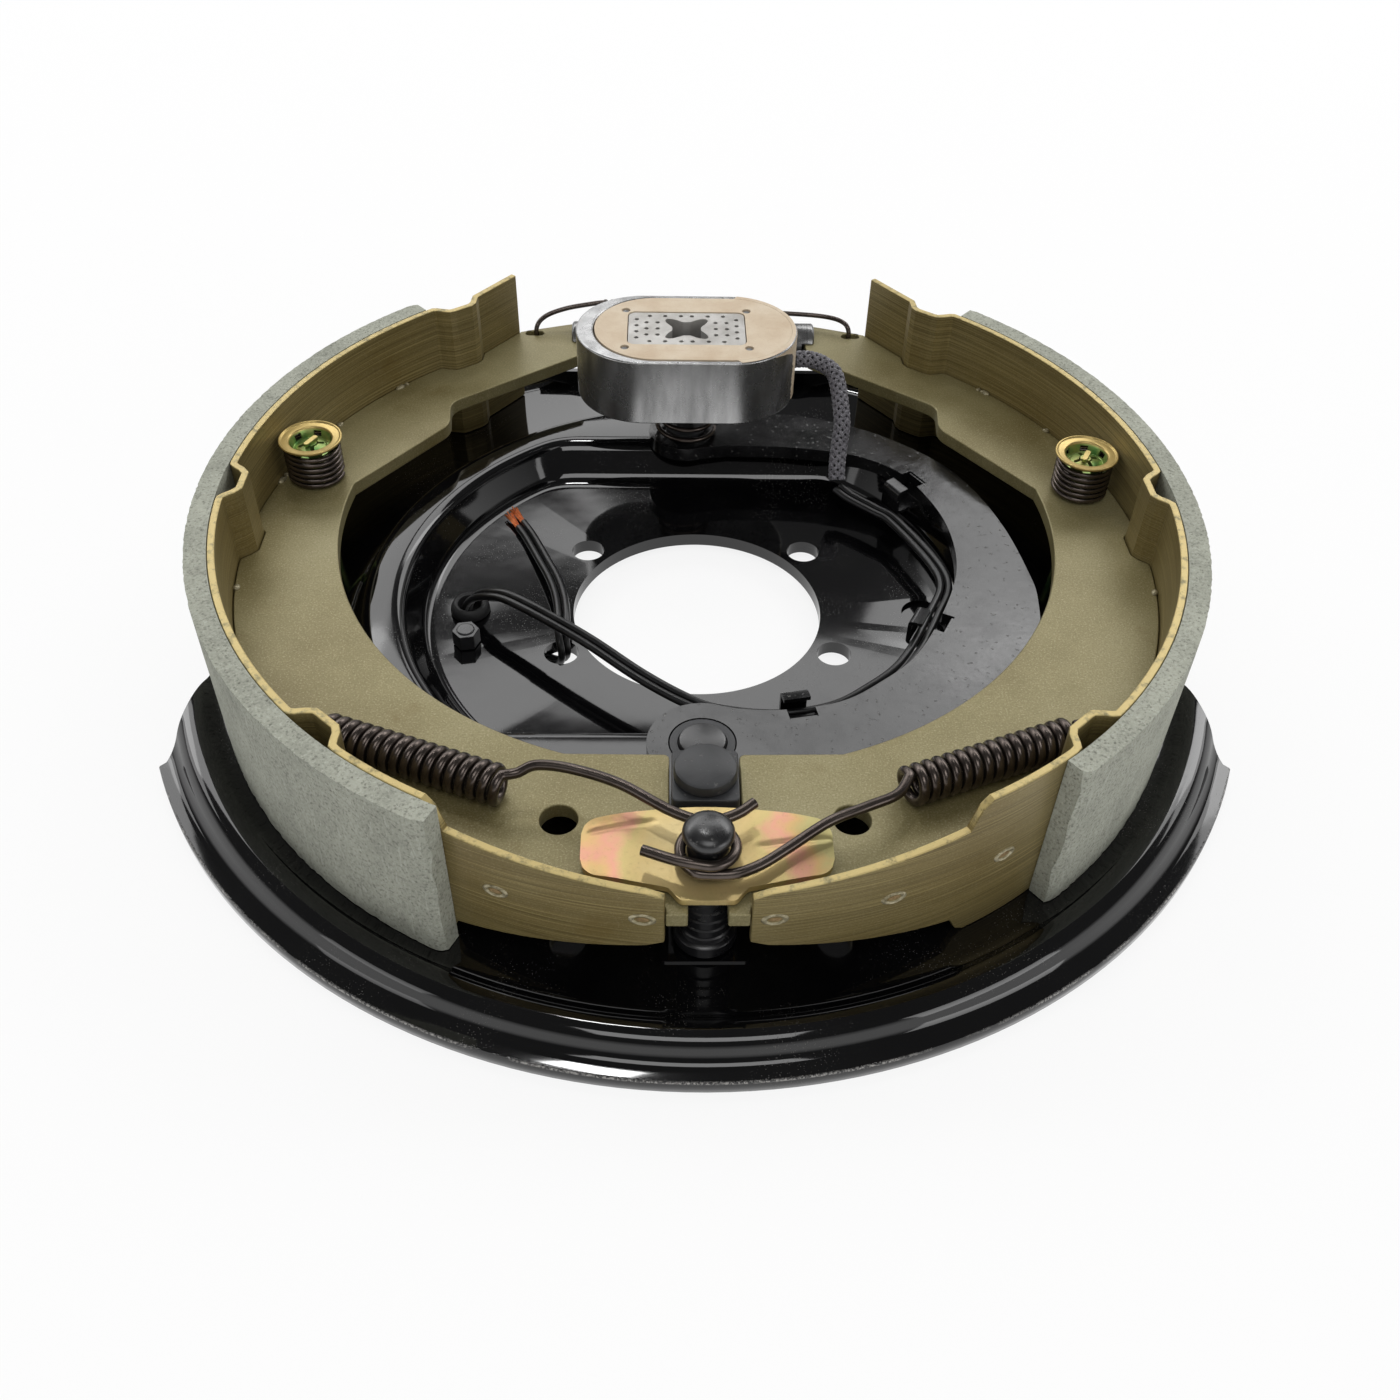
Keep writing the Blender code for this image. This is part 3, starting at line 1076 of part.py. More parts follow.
def star_shape():
    """Toothed wheel of the adjuster screw."""
    points = []
    for index in range(STAR_TEETH):
        for share, radius in ((0.0, STAR_RADIUS), (0.34, STAR_RADIUS), (0.5, STAR_ROOT_RADIUS),
                              (0.84, STAR_ROOT_RADIUS)):
            angle = 2 * math.pi * (index + share) / STAR_TEETH
            points.append((radius * math.cos(angle), radius * math.sin(angle)))
    return plate_shape(points, STAR_X - STAR_THICK / 2, STAR_X + STAR_THICK / 2)


def hollow_end(bore, mouth):
    """Closed-ended tube of the adjuster, from its mouth to the end of the adjuster."""
    floor = ADJUSTER_END_X - ADJUSTER_SOLID
    return turned_shape([(0.0, ADJUSTER_END_X), (ADJUSTER_RADIUS, ADJUSTER_END_X),
                         (ADJUSTER_RADIUS, mouth), (bore, mouth), (bore, floor), (0.0, floor)],
                        (0.0, 0.0), 16)


def build_adjuster(steel, spring_steel, carrier, star_axis):
    """Socket, star wheel screw and end cap between the heels of the webs."""
    half = STAR_THICK / 2 + GAP
    socket = hollow_end(SCREW_RADIUS + PIN_GAP, half - STAR_X)
    bmesh.ops.scale(socket, vec=(1.0, 1.0, -1.0), verts=socket.verts)
    bmesh.ops.recalc_face_normals(socket, faces=socket.faces)
    add_piece("adjuster_socket", combine(turn_to_x(socket), fork_slot(-1), "DIFFERENCE"), steel, carrier)
    cap = hollow_end(STUB_RADIUS + PIN_GAP, STAR_X + half)
    add_piece("adjuster_cap", combine(turn_to_x(cap), fork_slot(1), "DIFFERENCE"), steel, carrier)
    reach = ADJUSTER_END_X - ADJUSTER_SOLID - GAP
    screw = turned_shape([(0.0, -reach), (SCREW_RADIUS, -reach), (SCREW_RADIUS, STAR_X),
                          (STUB_RADIUS, STAR_X), (STUB_RADIUS, reach), (0.0, reach)], (0.0, 0.0), 16)
    screw = combine(screw, star_shape(), "UNION")
    add_piece("star_wheel_screw", turn_to_x(screw), steel, star_axis)
    build_adjuster_spring(spring_steel, carrier)


def build_adjuster_spring(material, carrier):
    """Spring between the heels of the webs, riding on the star wheel."""
    y, z = ADJUSTER_COIL_Y, ADJUSTER_COIL_Z
    coil = helix_points((ADJUSTER_COIL_LEFT, y, z), (ADJUSTER_COIL_RIGHT, y, z), ADJUSTER_COIL_RADIUS,
                        ADJUSTER_COIL_TURNS, 6, math.radians(90))
    slot_x, slot_y = HOOK_SLOT_X, HOOK_SLOT_Y
    above = WEB_TOP + 0.0022
    left = [(-slot_x + 0.0012, slot_y, WEB_LOW - 0.0006), (-slot_x + 0.0008, slot_y, above),
            (-slot_x + 0.0040, slot_y + 0.0042, above + 0.0026), (-slot_x + 0.0120, y - 0.0008, z + 0.0008),
            (ADJUSTER_COIL_LEFT - 0.0040, y, z + 0.0026), coil[0]]
    right = [coil[-1], (ADJUSTER_COIL_RIGHT + 0.0040, y, z + 0.0026), (STAR_X, y + 0.0006, z + 0.0008),
             (slot_x / 2, y, z - 0.0004), (slot_x - 0.0120, y - 0.0008, z - 0.0012),
             (slot_x - 0.0036, slot_y + 0.0036, above + 0.0022), (slot_x - 0.0008, slot_y, above),
             (slot_x - 0.0012, slot_y, WEB_LOW - 0.0006)]
    step = 2 * ADJUSTER_COIL_WIRE
    left_line = even_points(smooth_points(left, 6), step)[:-1]
    line = left_line + coil + even_points(smooth_points(right, 6), step)[1:]
    add_wire("adjuster_spring", line, ADJUSTER_COIL_WIRE, material, carrier, 0)


def ring_line(angles, offsets, heights):
    """Points given by angle, distance outside the raised ring's inner edge, and height."""
    places = ring_points(angles, offsets)
    return [(x, y, height) for (x, y), height in zip(places, heights)]


def under_plate():
    """Route from the grommet, down through it, under the plate and up the bolt hole beside it."""
    grommet = Vector((-WIRE_HOLE_X, WIRE_HOLE_Y))
    hole = Vector(polar(BOLT_ANGLES[-1], BOLT_CIRCLE))
    along = (hole - grommet).normalized()
    down = [(*(grommet + along * distance), height) for distance, height in LEAD_DOWN]
    up = [(*(hole + along * distance), height) for distance, height in LEAD_UP]
    return down + up


def lead_route():
    """Middle of the pair of leads, which follows the lever's inner edge under its tabs."""
    height = LEVER_LOW - LEAD_DIAMETER / 2 - 1.5 * GAP
    beside = offset_line(LEVER_INNER[:6], -(LEAD_SPACING + LEAD_DIAMETER) / 2 - LEAD_PLAY)
    along = [(x, y, height) for x, y in reversed(beside)]
    start = ring_line(LEAD_START_ANGLES, LEAD_START_OFFSETS, LEAD_START_HEIGHTS)
    crossing = ring_line(LEAD_CROSSING_ANGLES, LEAD_CROSSING_OFFSETS, LEAD_CROSSING_HEIGHTS)
    tail = ring_line(LEAD_TAIL_ANGLES, LEAD_TAIL_OFFSETS, LEAD_TAIL_HEIGHTS)
    return smooth_points(start + along + crossing + under_plate() + tail, 8)


def sleeve_route():
    """Middle of the braided sleeve, from the magnet's end down to the leads."""
    end_x = MAGNET_X + MAGNET_LENGTH / 2
    lead_x, lead_y = ring_points(LEAD_START_ANGLES[:1], LEAD_START_OFFSETS[:1])[0]
    route = [(end_x + x, MAGNET_Y + y, z) for x, y, z in SLEEVE_START]
    return route + [(lead_x + x, lead_y + y, z) for x, y, z in SLEEVE_END]


def lead_line(offset, shorten):
    """One lead of the pair, beside the common route."""
    centre = lead_route()
    start = centre[1] - centre[0]
    side = Vector((start.y, -start.x, 0.0))
    line = []
    for index, point in enumerate(centre):
        ahead = centre[min(index + 1, len(centre) - 1)]
        behind = centre[max(index - 1, 0)]
        along = (ahead - behind).normalized()
        side.z *= 1.0 - 0.15 * (1.0 - along.z ** 2)
        side = (side - along * side.dot(along)).normalized()
        line.append(point + side * offset)
    return thin_points(line, LEAD_DIAMETER * 4, LEAD_DIAMETER / 12)[:-shorten or None]


def build_leads(insulation, copper, braid, magnet_axis):
    """Braided sleeve at the magnet, two leads and their bare ends."""
    sleeve = even_points(smooth_points(sleeve_route(), 6), SLEEVE_DIAMETER * 0.8)
    add_wire("lead_sleeve", sleeve, SLEEVE_DIAMETER, braid, magnet_axis, 2)
    for label, offset, shorten in (("a", LEAD_SPACING / 2, 0), ("b", -LEAD_SPACING / 2, 2)):
        line = lead_line(offset, shorten)
        add_wire(f"lead_{label}", line, LEAD_DIAMETER, insulation)
        along = line[-1] - line[-3]
        along.z = 0.0
        along.normalize()
        start = line[-1] + along * GAP
        strand = [start + along * (STRAND_LENGTH * index / 3) for index in range(4)]
        add_wire(f"bare_end_{label}", strand, STRAND_DIAMETER, copper, None, 1)


def build_plate_fittings(rubber, steel):
    """Grommet, hexagonal stud and the plug of the adjuster slot."""
    inner = GROMMET_BORE
    neck = WIRE_HOLE_RADIUS - PIN_GAP
    profile = [(inner, DISC_LOW), (neck, DISC_LOW), (neck, DISC_TOP + GAP),
               (GROMMET_RADIUS, DISC_TOP + GAP), (GROMMET_RADIUS - 0.001, DISC_TOP + 2 * GROMMET_LIP),
               (inner, DISC_TOP + 2 * GROMMET_LIP)]
    add_piece("wire_grommet", turned_shape(profile, (-WIRE_HOLE_X, WIRE_HOLE_Y), 20), rubber)
    neck = STUD_HOLE_RADIUS - 0.0012 - PIN_GAP
    centre = (-STUD_HOLE_X, STUD_HOLE_Y)
    profile = [(0.0, DISC_LOW - 0.001), (neck, DISC_LOW - 0.001), (neck, DISC_TOP + GAP),
               (0.0044, DISC_TOP + GAP), (0.0044, DISC_TOP + 0.0052), (0.0036, DISC_TOP + 0.0060),
               (0.0, DISC_TOP + 0.0060)]
    add_piece("hex_stud", turned_shape(profile, centre, 6), steel)
    slot_low = TRACK_LOW - 0.0006
    length = SLOT_LENGTH - 2 * GAP
    width = SLOT_WIDTH - 2 * GAP
    plug = plate_shape(rounded_outline((SLOT_X, ADJUSTER_Y), length, width, width / 2, 4), slot_low,
                       TRACK_TOP + 0.001)
    add_piece("slot_plug", plug, rubber)


def build_shoe(label, side, ends, olive, friction, parent):
    """Table, web and lining of one shoe."""
    build_table(f"{label}_table", side, olive, parent)
    build_web(f"{label}_web", side, olive, parent)
    build_lining(f"{label}_lining", side, ends, friction, parent)


def build_brake():
    """All pieces, carried by the empties of their joints."""
    clear_scene()
    black = finish_material("black paint", (0.012, 0.012, 0.013), 0.22, 0.0)
    olive = finish_material("olive paint", (0.20, 0.165, 0.06), 0.38, 0.3)
    friction = finish_material("friction lining", (0.25, 0.26, 0.23), 0.9, 0.0)
    spring_steel = finish_material("oiled spring steel", (0.035, 0.03, 0.028), 0.32, 0.8)
    zinc = finish_material("yellow zinc", (0.75, 0.60, 0.30), 0.25, 0.9)
    bright = finish_material("bright steel", (0.62, 0.62, 0.61), 0.25, 1.0)
    tan = finish_material("tan friction face", (0.78, 0.62, 0.45), 0.7, 0.0)
    rubber = finish_material("black rubber", (0.015, 0.015, 0.015), 0.6, 0.0)
    copper = finish_material("copper", (0.80, 0.30, 0.12), 0.3, 1.0)

    lever_axis = joint_empty("lever_axis", (0.0, PIVOT_Y, LEVER_LOW))
    block_axis = joint_empty("block_axis", (0.0, BLOCK_Y, LEVER_TOP), lever_axis)
    magnet_axis = joint_empty("magnet_axis", (MAGNET_X, MAGNET_Y, MAGNET_LOW), lever_axis)
    secondary_axis = joint_empty("secondary_axis", (0.0, ANCHOR_Y, WEB_LOW))
    heel = (WEB_HEEL_X, ADJUSTER_Y, ADJUSTER_Z)
    primary_axis = joint_empty("primary_axis", heel, secondary_axis)
    star_axis = joint_empty("star_axis", (STAR_X, ADJUSTER_Y, ADJUSTER_Z), secondary_axis)

    build_backing_plate(black)
    build_anchor_post(black)
    build_anchor_plate(zinc)
    build_pivot(black, black, lever_axis)
    build_plate_fittings(rubber, black)
    build_shoe("primary", 1, PRIMARY_LINING_ANGLES, olive, friction, primary_axis)
    build_shoe("secondary", -1, SECONDARY_LINING_ANGLES, olive, friction, secondary_axis)
    build_hold_down("primary", 1, spring_steel, zinc)
    build_hold_down("secondary", -1, spring_steel, zinc)
    build_lever(black, lever_axis)
    build_block(black, lever_axis, block_axis)
    build_magnet(bright, tan, bright, copper, magnet_axis)
    build_magnet_stud(black, spring_steel, lever_axis)
    build_return_springs(spring_steel, primary_axis, secondary_axis)
    build_adjuster(bright, spring_steel, secondary_axis, star_axis)
    build_leads(rubber, copper, rubber, magnet_axis)


build_brake()
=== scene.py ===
"""Looks of an electric trailer brake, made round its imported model.

Metres, in the frame of the model: the wheel axis is Z, the anchor post is at -Y, the magnet
and the adjuster are at +Y, the primary shoe is at +X and the secondary shoe at -X.
"""

import math

import bmesh
import bpy
from mathutils import Matrix, Vector, noise


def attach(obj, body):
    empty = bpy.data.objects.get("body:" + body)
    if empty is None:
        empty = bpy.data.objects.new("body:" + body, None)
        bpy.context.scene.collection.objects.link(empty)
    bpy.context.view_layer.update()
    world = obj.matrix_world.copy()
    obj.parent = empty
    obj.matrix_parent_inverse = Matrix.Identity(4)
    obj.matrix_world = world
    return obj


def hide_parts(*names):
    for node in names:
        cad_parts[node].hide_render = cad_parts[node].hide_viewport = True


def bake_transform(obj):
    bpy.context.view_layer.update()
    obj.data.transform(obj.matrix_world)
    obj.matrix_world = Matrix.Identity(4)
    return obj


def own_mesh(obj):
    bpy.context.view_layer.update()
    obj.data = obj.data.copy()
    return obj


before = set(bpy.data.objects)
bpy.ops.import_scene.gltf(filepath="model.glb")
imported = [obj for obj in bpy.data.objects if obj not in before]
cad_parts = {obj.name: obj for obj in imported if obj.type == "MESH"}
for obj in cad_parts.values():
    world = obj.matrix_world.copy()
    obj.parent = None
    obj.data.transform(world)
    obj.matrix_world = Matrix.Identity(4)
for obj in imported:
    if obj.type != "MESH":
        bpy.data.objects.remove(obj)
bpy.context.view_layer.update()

# Sizes of the model that the looks are fitted to; a circle is given by its radius, and
# coils by the radius of their middle line and the thickness of their wire
GAP = 0.0003
TABLE_RADIUS = 0.1445
TABLE_THICK = 0.0022
LINING_RADIUS = 0.1510
SHOE_LOW = 0.0058
SHOE_TOP = 0.0566
WEB_LOW = 0.0288
WEB_TOP = 0.0336
RING_INNER = 0.0965
DISC_RADIUS = 0.0875
DISC_TOP = 0.0075
DISC_LOW = 0.0030
PLATE_THICK = 0.0045
RIM_RADIUS = 0.172
ANCHOR_Y = -0.1300
BLOCK_Y = -0.1025
PIVOT_Y = -0.0775
MAGNET_X = -0.0034
MAGNET_Y = 0.0810
MAGNET = (MAGNET_X, MAGNET_Y)
MAGNET_TOP = 0.0650
MAGNET_LENGTH = 0.0760
MAGNET_DEPTH = 0.0470
FACE_LENGTH = 0.0685
FACE_DEPTH = 0.0430
FACE_SHIFT = 0.0023
CORE_LENGTH = 0.0400
CORE_DEPTH = 0.0220
MAGNET_LOW = 0.0415
ADJUSTER_Y = 0.1330
LEVER_LOW = 0.0196
LEVER_TOP = 0.0244
GUIDE_LOW = 0.0342
GUIDE_HALF = 0.0312
BOLT_CIRCLE = 0.0484
BOLT_ANGLES = (-90.0, -26.5, 40.0, 140.0, 206.5)    # degrees
LEAD_DIAMETER = 0.0024
LEAD_SPACING = 0.0028         # between the middles of the two leads
LEAD_PLAY = 0.0011            # between the lever's edge and the leads
SLEEVE_DIAMETER = 0.0062
COIL_RADIUS = 0.0043
COIL_WIRE = 0.0028
GUIDE_RISE = 0.0022
GUIDE_THICK = 0.0018
POST_NECK = 0.0052            # radius of the post where the springs hook on
POST_NECK_TOP = 0.0460
GROMMET = (-0.0740, -0.0015)
SMALL_STUD = (-0.0735, -0.0172)
HEEL_SLOT = (0.0610, 0.1335)
EVEN = (1.0, 1.0, 1.0)        # a pattern that isn't stretched


# Lines and outlines ---------------------------------------------------------------------

def polar(angle, radius):
    """Place in plan at an angle in degrees from the +X side."""
    turn = math.radians(angle)
    return radius * math.cos(turn), radius * math.sin(turn)


def ring_points(spots):
    """Places in plan by angle and distance outside the raised ring's inner edge."""
    return [polar(angle, RING_INNER + offset) for angle, offset in spots]


def arc(centre, radius, start, end, steps):
    """Points on an arc, angles in degrees."""
    points = []
    for index in range(steps + 1):
        x, y = polar(start + (end - start) * index / steps, radius)
        points.append((centre[0] + x, centre[1] + y))
    return points


def smooth_line(points, steps):
    """A smooth curve through points of two or three coordinates."""
    vectors = [Vector(point) for point in points]
    ends = [2 * vectors[0] - vectors[1]] + vectors + [2 * vectors[-1] - vectors[-2]]
    line = []
    for index in range(1, len(ends) - 2):
        before, start, end, after = ends[index - 1:index + 3]
        for step in range(steps):
            t = step / steps
            line.append(0.5 * (2 * start + (end - before) * t
                               + (2 * before - 5 * start + 4 * end - after) * t ** 2
                               + (3 * start - before - 3 * end + after) * t ** 3))
    line.append(vectors[-1])
    return line


def even_line(points, spacing):
    """The same line with points at even distances."""
    lengths = [0.0]
    for start, end in zip(points, points[1:]):
        lengths.append(lengths[-1] + (Vector(end) - Vector(start)).length)
    count = max(2, round(lengths[-1] / spacing))
    line = []
    index = 0
    for step in range(count + 1):
        target = lengths[-1] * step / count
        while index < len(points) - 2 and lengths[index + 1] < target:
            index += 1
        share = (target - lengths[index]) / (lengths[index + 1] - lengths[index])
        line.append(Vector(points[index]).lerp(Vector(points[index + 1]), min(1.0, share)))
    return line


def soft_corners(points, reach, steps=4, closed=False):
    """Round the corners of a line of points."""
    count = len(points)
    line = []
    for index, point in enumerate(points):
        here = Vector(point)
        if not closed and index in (0, count - 1):
            line.append(here)
            continue
        before = Vector(points[index - 1])
        after = Vector(points[(index + 1) % count])
        start = here + (before - here).normalized() * min(reach, (before - here).length * 0.49)
        end = here + (after - here).normalized() * min(reach, (after - here).length * 0.49)
        for step in range(steps + 1):
            t = step / steps
            line.append(start * (1 - t) ** 2 + here * (2 * t * (1 - t)) + end * t ** 2)
    return line


def neighbours(points):
    """Each point with the one before it and the one after it."""
    last = len(points) - 1
    for index, point in enumerate(points):
        yield point, points[max(index - 1, 0)], points[min(index + 1, last)]


def beside_line(points, distance):
    """A line moved to its right by a distance, with mitred corners."""
    moved = []
    vectors = [Vector(point) for point in points]
    for index, (here, before, after) in enumerate(neighbours(vectors)):
        first = (here - before) if index else (after - here)
        second = (after - here) if index < len(points) - 1 else first
        normal_a = Vector((first.y, -first.x)).normalized()
        normal_b = Vector((second.y, -second.x)).normalized()
        mitre = (normal_a + normal_b).normalized()
        moved.append(here + mitre * (distance / mitre.dot(normal_a)))
    return moved


def rounded_box(centre, length, depth, corner, steps=10):
    """Outline of a rectangle with round corners."""
    points = []
    for sign_x, sign_y, start in ((1, 1, 0), (-1, 1, 90), (-1, -1, 180), (1, -1, 270)):
        hub = (centre[0] + sign_x * (length / 2 - corner),
               centre[1] + sign_y * (depth / 2 - corner))
        points += arc(hub, corner, start, start + 90, steps)
    return points


def round_place(centre, side, up, radius, angle):
    """Place on a circle that two directions span."""
    return centre + side * (radius * math.cos(angle)) + up * (radius * math.sin(angle))


def coil_line(start, end, radius, turns, per_turn, phase=0.0, end_radius=None):
    """Points of a coil from start to end."""
    axis = Vector(end) - Vector(start)
    along = axis.normalized()
    side = along.cross(Vector((0.0, 0.0, 1.0)))
    if side.length < 0.1:
        side = Vector((1.0, 0.0, 0.0))
    side.normalize()
    up = side.cross(along)
    count = round(turns * per_turn)
    points = []
    for index in range(count + 1):
        share = index / count
        angle = 2 * math.pi * turns * share + phase
        reach = radius + ((end_radius or radius) - radius) * share
        points.append(round_place(Vector(start) + axis * share, side, up, reach, angle))
    return points


def carried_frames(points):
    """Direction, side and up at each point of a line, without twist."""
    side = (points[1] - points[0]).normalized().orthogonal().normalized()
    frames = []
    for point, before, after in neighbours(points):
        along = (after - before).normalized()
        side = (side - along * side.dot(along)).normalized()
        frames.append((point, along, side, along.cross(side)))
    return frames


# Shapes ---------------------------------------------------------------------------------

def turned(profile, centre=(0.0, 0.0), steps=48):
    """A profile of radius and height, spun about an upright axis."""
    shape = bmesh.new()
    corners = [shape.verts.new((radius, 0.0, height)) for radius, height in profile]
    edges = [shape.edges.new(pair) for pair in zip(corners, corners[1:])]
    if min(profile[0][0], profile[-1][0]) > 1e-6:
        edges.append(shape.edges.new((corners[-1], corners[0])))
    bmesh.ops.spin(shape, geom=corners + edges, cent=(0.0, 0.0, 0.0), axis=(0.0, 0.0, 1.0),
                   angle=2 * math.pi, steps=steps, use_merge=True)
    bmesh.ops.remove_doubles(shape, verts=shape.verts, dist=1e-6)
    bmesh.ops.dissolve_degenerate(shape, edges=shape.edges, dist=1e-7)
    bmesh.ops.recalc_face_normals(shape, faces=shape.faces)
    bmesh.ops.translate(shape, verts=shape.verts, vec=(centre[0], centre[1], 0.0))
    return shape


def slab(outline, low, high):
    """A flat outline, extruded upwards."""
    shape = bmesh.new()
    face = shape.faces.new([shape.verts.new((x, y, low)) for x, y in outline])
    grown = bmesh.ops.extrude_face_region(shape, geom=[face])
    lifted = [item for item in grown["geom"] if isinstance(item, bmesh.types.BMVert)]
    bmesh.ops.translate(shape, verts=lifted, vec=(0.0, 0.0, high - low))
    bmesh.ops.recalc_face_normals(shape, faces=shape.faces)
    return shape


def swept(sections):
    """A face extruded from section to section."""
    shape = bmesh.new()
    face = shape.faces.new([shape.verts.new(corner) for corner in sections[0]])
    for section in sections[1:]:
        grown = bmesh.ops.extrude_face_region(shape, geom=[face])
        face = next(item for item in grown["geom"] if isinstance(item, bmesh.types.BMFace))
        for vert, corner in zip(face.verts, section):
            vert.co = corner
    bmesh.ops.recalc_face_normals(shape, faces=shape.faces)
    return shape


def tube(points, radius, sides=10):
    """A round bar that follows a line: a circle extruded from point to point."""
    shape = bmesh.new()
    frames = carried_frames([Vector(point) for point in points])
    place, ahead = frames[0][:2]
    ring = bmesh.ops.create_circle(shape, segments=sides, radius=radius)["verts"]
    turn = ahead.to_track_quat("Z", "Y").to_matrix().to_4x4()
    bmesh.ops.transform(shape, matrix=Matrix.Translation(place) @ turn, verts=ring)
    edges = list(shape.edges)
    ends = list(edges)
    for new_place, new_ahead, _, _ in frames[1:]:
        grown = bmesh.ops.extrude_edge_only(shape, edges=edges)["geom"]
        ring = [item for item in grown if isinstance(item, bmesh.types.BMVert)]
        inside = set(ring)
        edges = [item for item in grown if isinstance(item, bmesh.types.BMEdge)
                 and item.verts[0] in inside and item.verts[1] in inside]
        turn = ahead.rotation_difference(new_ahead).to_matrix().to_4x4()
        move = Matrix.Translation(new_place) @ turn @ Matrix.Translation(-place)
        bmesh.ops.transform(shape, matrix=move, verts=ring)
        place, ahead = new_place, new_ahead
    bmesh.ops.holes_fill(shape, edges=ends + edges, sides=sides)
    bmesh.ops.recalc_face_normals(shape, faces=shape.faces)
    return shape


def meshed(name, shape):
    """A shape as a mesh."""
    mesh = bpy.data.meshes.new(name)
    shape.to_mesh(mesh)
    shape.free()
    return mesh


def linked(name, data):
    """An object of the scene."""
    made = bpy.data.objects.new(name, data)
    bpy.context.scene.collection.objects.link(made)
    return made


def joined(shapes):
    """Several shapes as one."""
    whole = bmesh.new()
    for shape in shapes:
        mesh = meshed("part", shape)
        whole.from_mesh(mesh)
        bpy.data.meshes.remove(mesh)
    return whole


def combined(target, tool, operation):
    """Cut, join or intersect two shapes."""
    holders = [linked(label, meshed(label, shape))
               for label, shape in (("work", target), ("tool", tool))]
    modifier = holders[0].modifiers.new("combine", "BOOLEAN")
    modifier.operation = operation
    modifier.solver = "EXACT"
    modifier.object = holders[1]
    bpy.context.view_layer.update()
    outcome = bmesh.new()
    outcome.from_object(holders[0], bpy.context.evaluated_depsgraph_get())
    for holder in holders:
        bpy.data.objects.remove(holder, do_unlink=True)
    bmesh.ops.remove_doubles(outcome, verts=outcome.verts, dist=2e-6)
    return outcome


def cut(shape, tool):
    """Take a tool out of a shape."""
    return combined(shape, tool, "DIFFERENCE")


def fused(shape, addition):
    """A shape and an addition as one."""
    return combined(shape, addition, "UNION")


def rod(radius, low, high, centre=(0.0, 0.0), steps=32):
    """Upright round bar."""
    return turned(((0.0, low), (radius, low), (radius, high), (0.0, high)), centre, steps)


def raised(profile, height):
    """A profile moved up."""
    return [(radius, height + level) for radius, level in profile]


def placed(shape, centre, heading):
    """A shape turned about its upright axis and moved in plan."""
    place = Matrix.Translation((*centre, 0.0)) @ Matrix.Rotation(math.radians(heading), 4, "Z")
    bmesh.ops.transform(shape, matrix=place, verts=shape.verts)
    return shape


def drill(shape, places, radius, low, high, steps=32):
    """Round holes through a shape."""
    return cut(shape, joined([rod(radius, low, high, place, steps) for place in places]))


def shown(name, shape, finish, body, node=None, edge=0.0, angle=35.0):
    """Make a shape a piece of the scene that rides on a body and may replace a node."""
    material, slot = finish
    mesh = meshed(name, shape)
    mesh.materials.append(material)
    mesh.shade_smooth()
    mesh.set_sharp_from_angle(angle=math.radians(angle))
    piece = linked(name, mesh)
    if edge:
        modifier = piece.modifiers.new("edges", "BEVEL")
        modifier.width = edge
        modifier.segments = 2
        modifier.limit_method = "ANGLE"
        modifier.angle_limit = math.radians(angle)
        modifier.harden_normals = True
    if node:
        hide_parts(node)
    if body:
        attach(piece, body)
    return piece


def shown_spring(name, points, radius, body, node, sides=10):
    """Show a spring of round wire."""
    return shown(name, tube(points, radius, sides), SPRING, body, node, angle=60.0)


# Finishes -------------------------------------------------------------------------------

def tone(red, green, blue):
    """A colour from its 0 to 255 values as seen on a screen."""
    parts = []
    for value in (red, green, blue):
        part = value / 255
        parts.append(part / 12.92 if part <= 0.04045 else ((part + 0.055) / 1.055) ** 2.4)
    return (*parts, 1.0)


class Nodes:
    """A node tree that is filled one node at a time."""

    def __init__(self, tree):
        self.tree = tree

    def feed(self, socket, value):
        """Link a socket to another one, or set its value."""
        if isinstance(value, bpy.types.NodeSocket):
            self.tree.links.new(value, socket)
        else:
            socket.default_value = value

    def add(self, kind, inputs=(), **settings):
        """A node, with its inputs linked or set."""
        made = self.tree.nodes.new(kind)
        for label, value in settings.items():
            setattr(made, label, value)
        for label, value in dict(inputs).items():
            self.feed(made.inputs[label], value)
        return made

    def math(self, operation, first, second):
        """One sum on two values."""
        return self.add("ShaderNodeMath", {0: first, 1: second}, operation=operation).outputs[0]

    def times(self, first, second):
        """The product of two values."""
        return self.math("MULTIPLY", first, second)


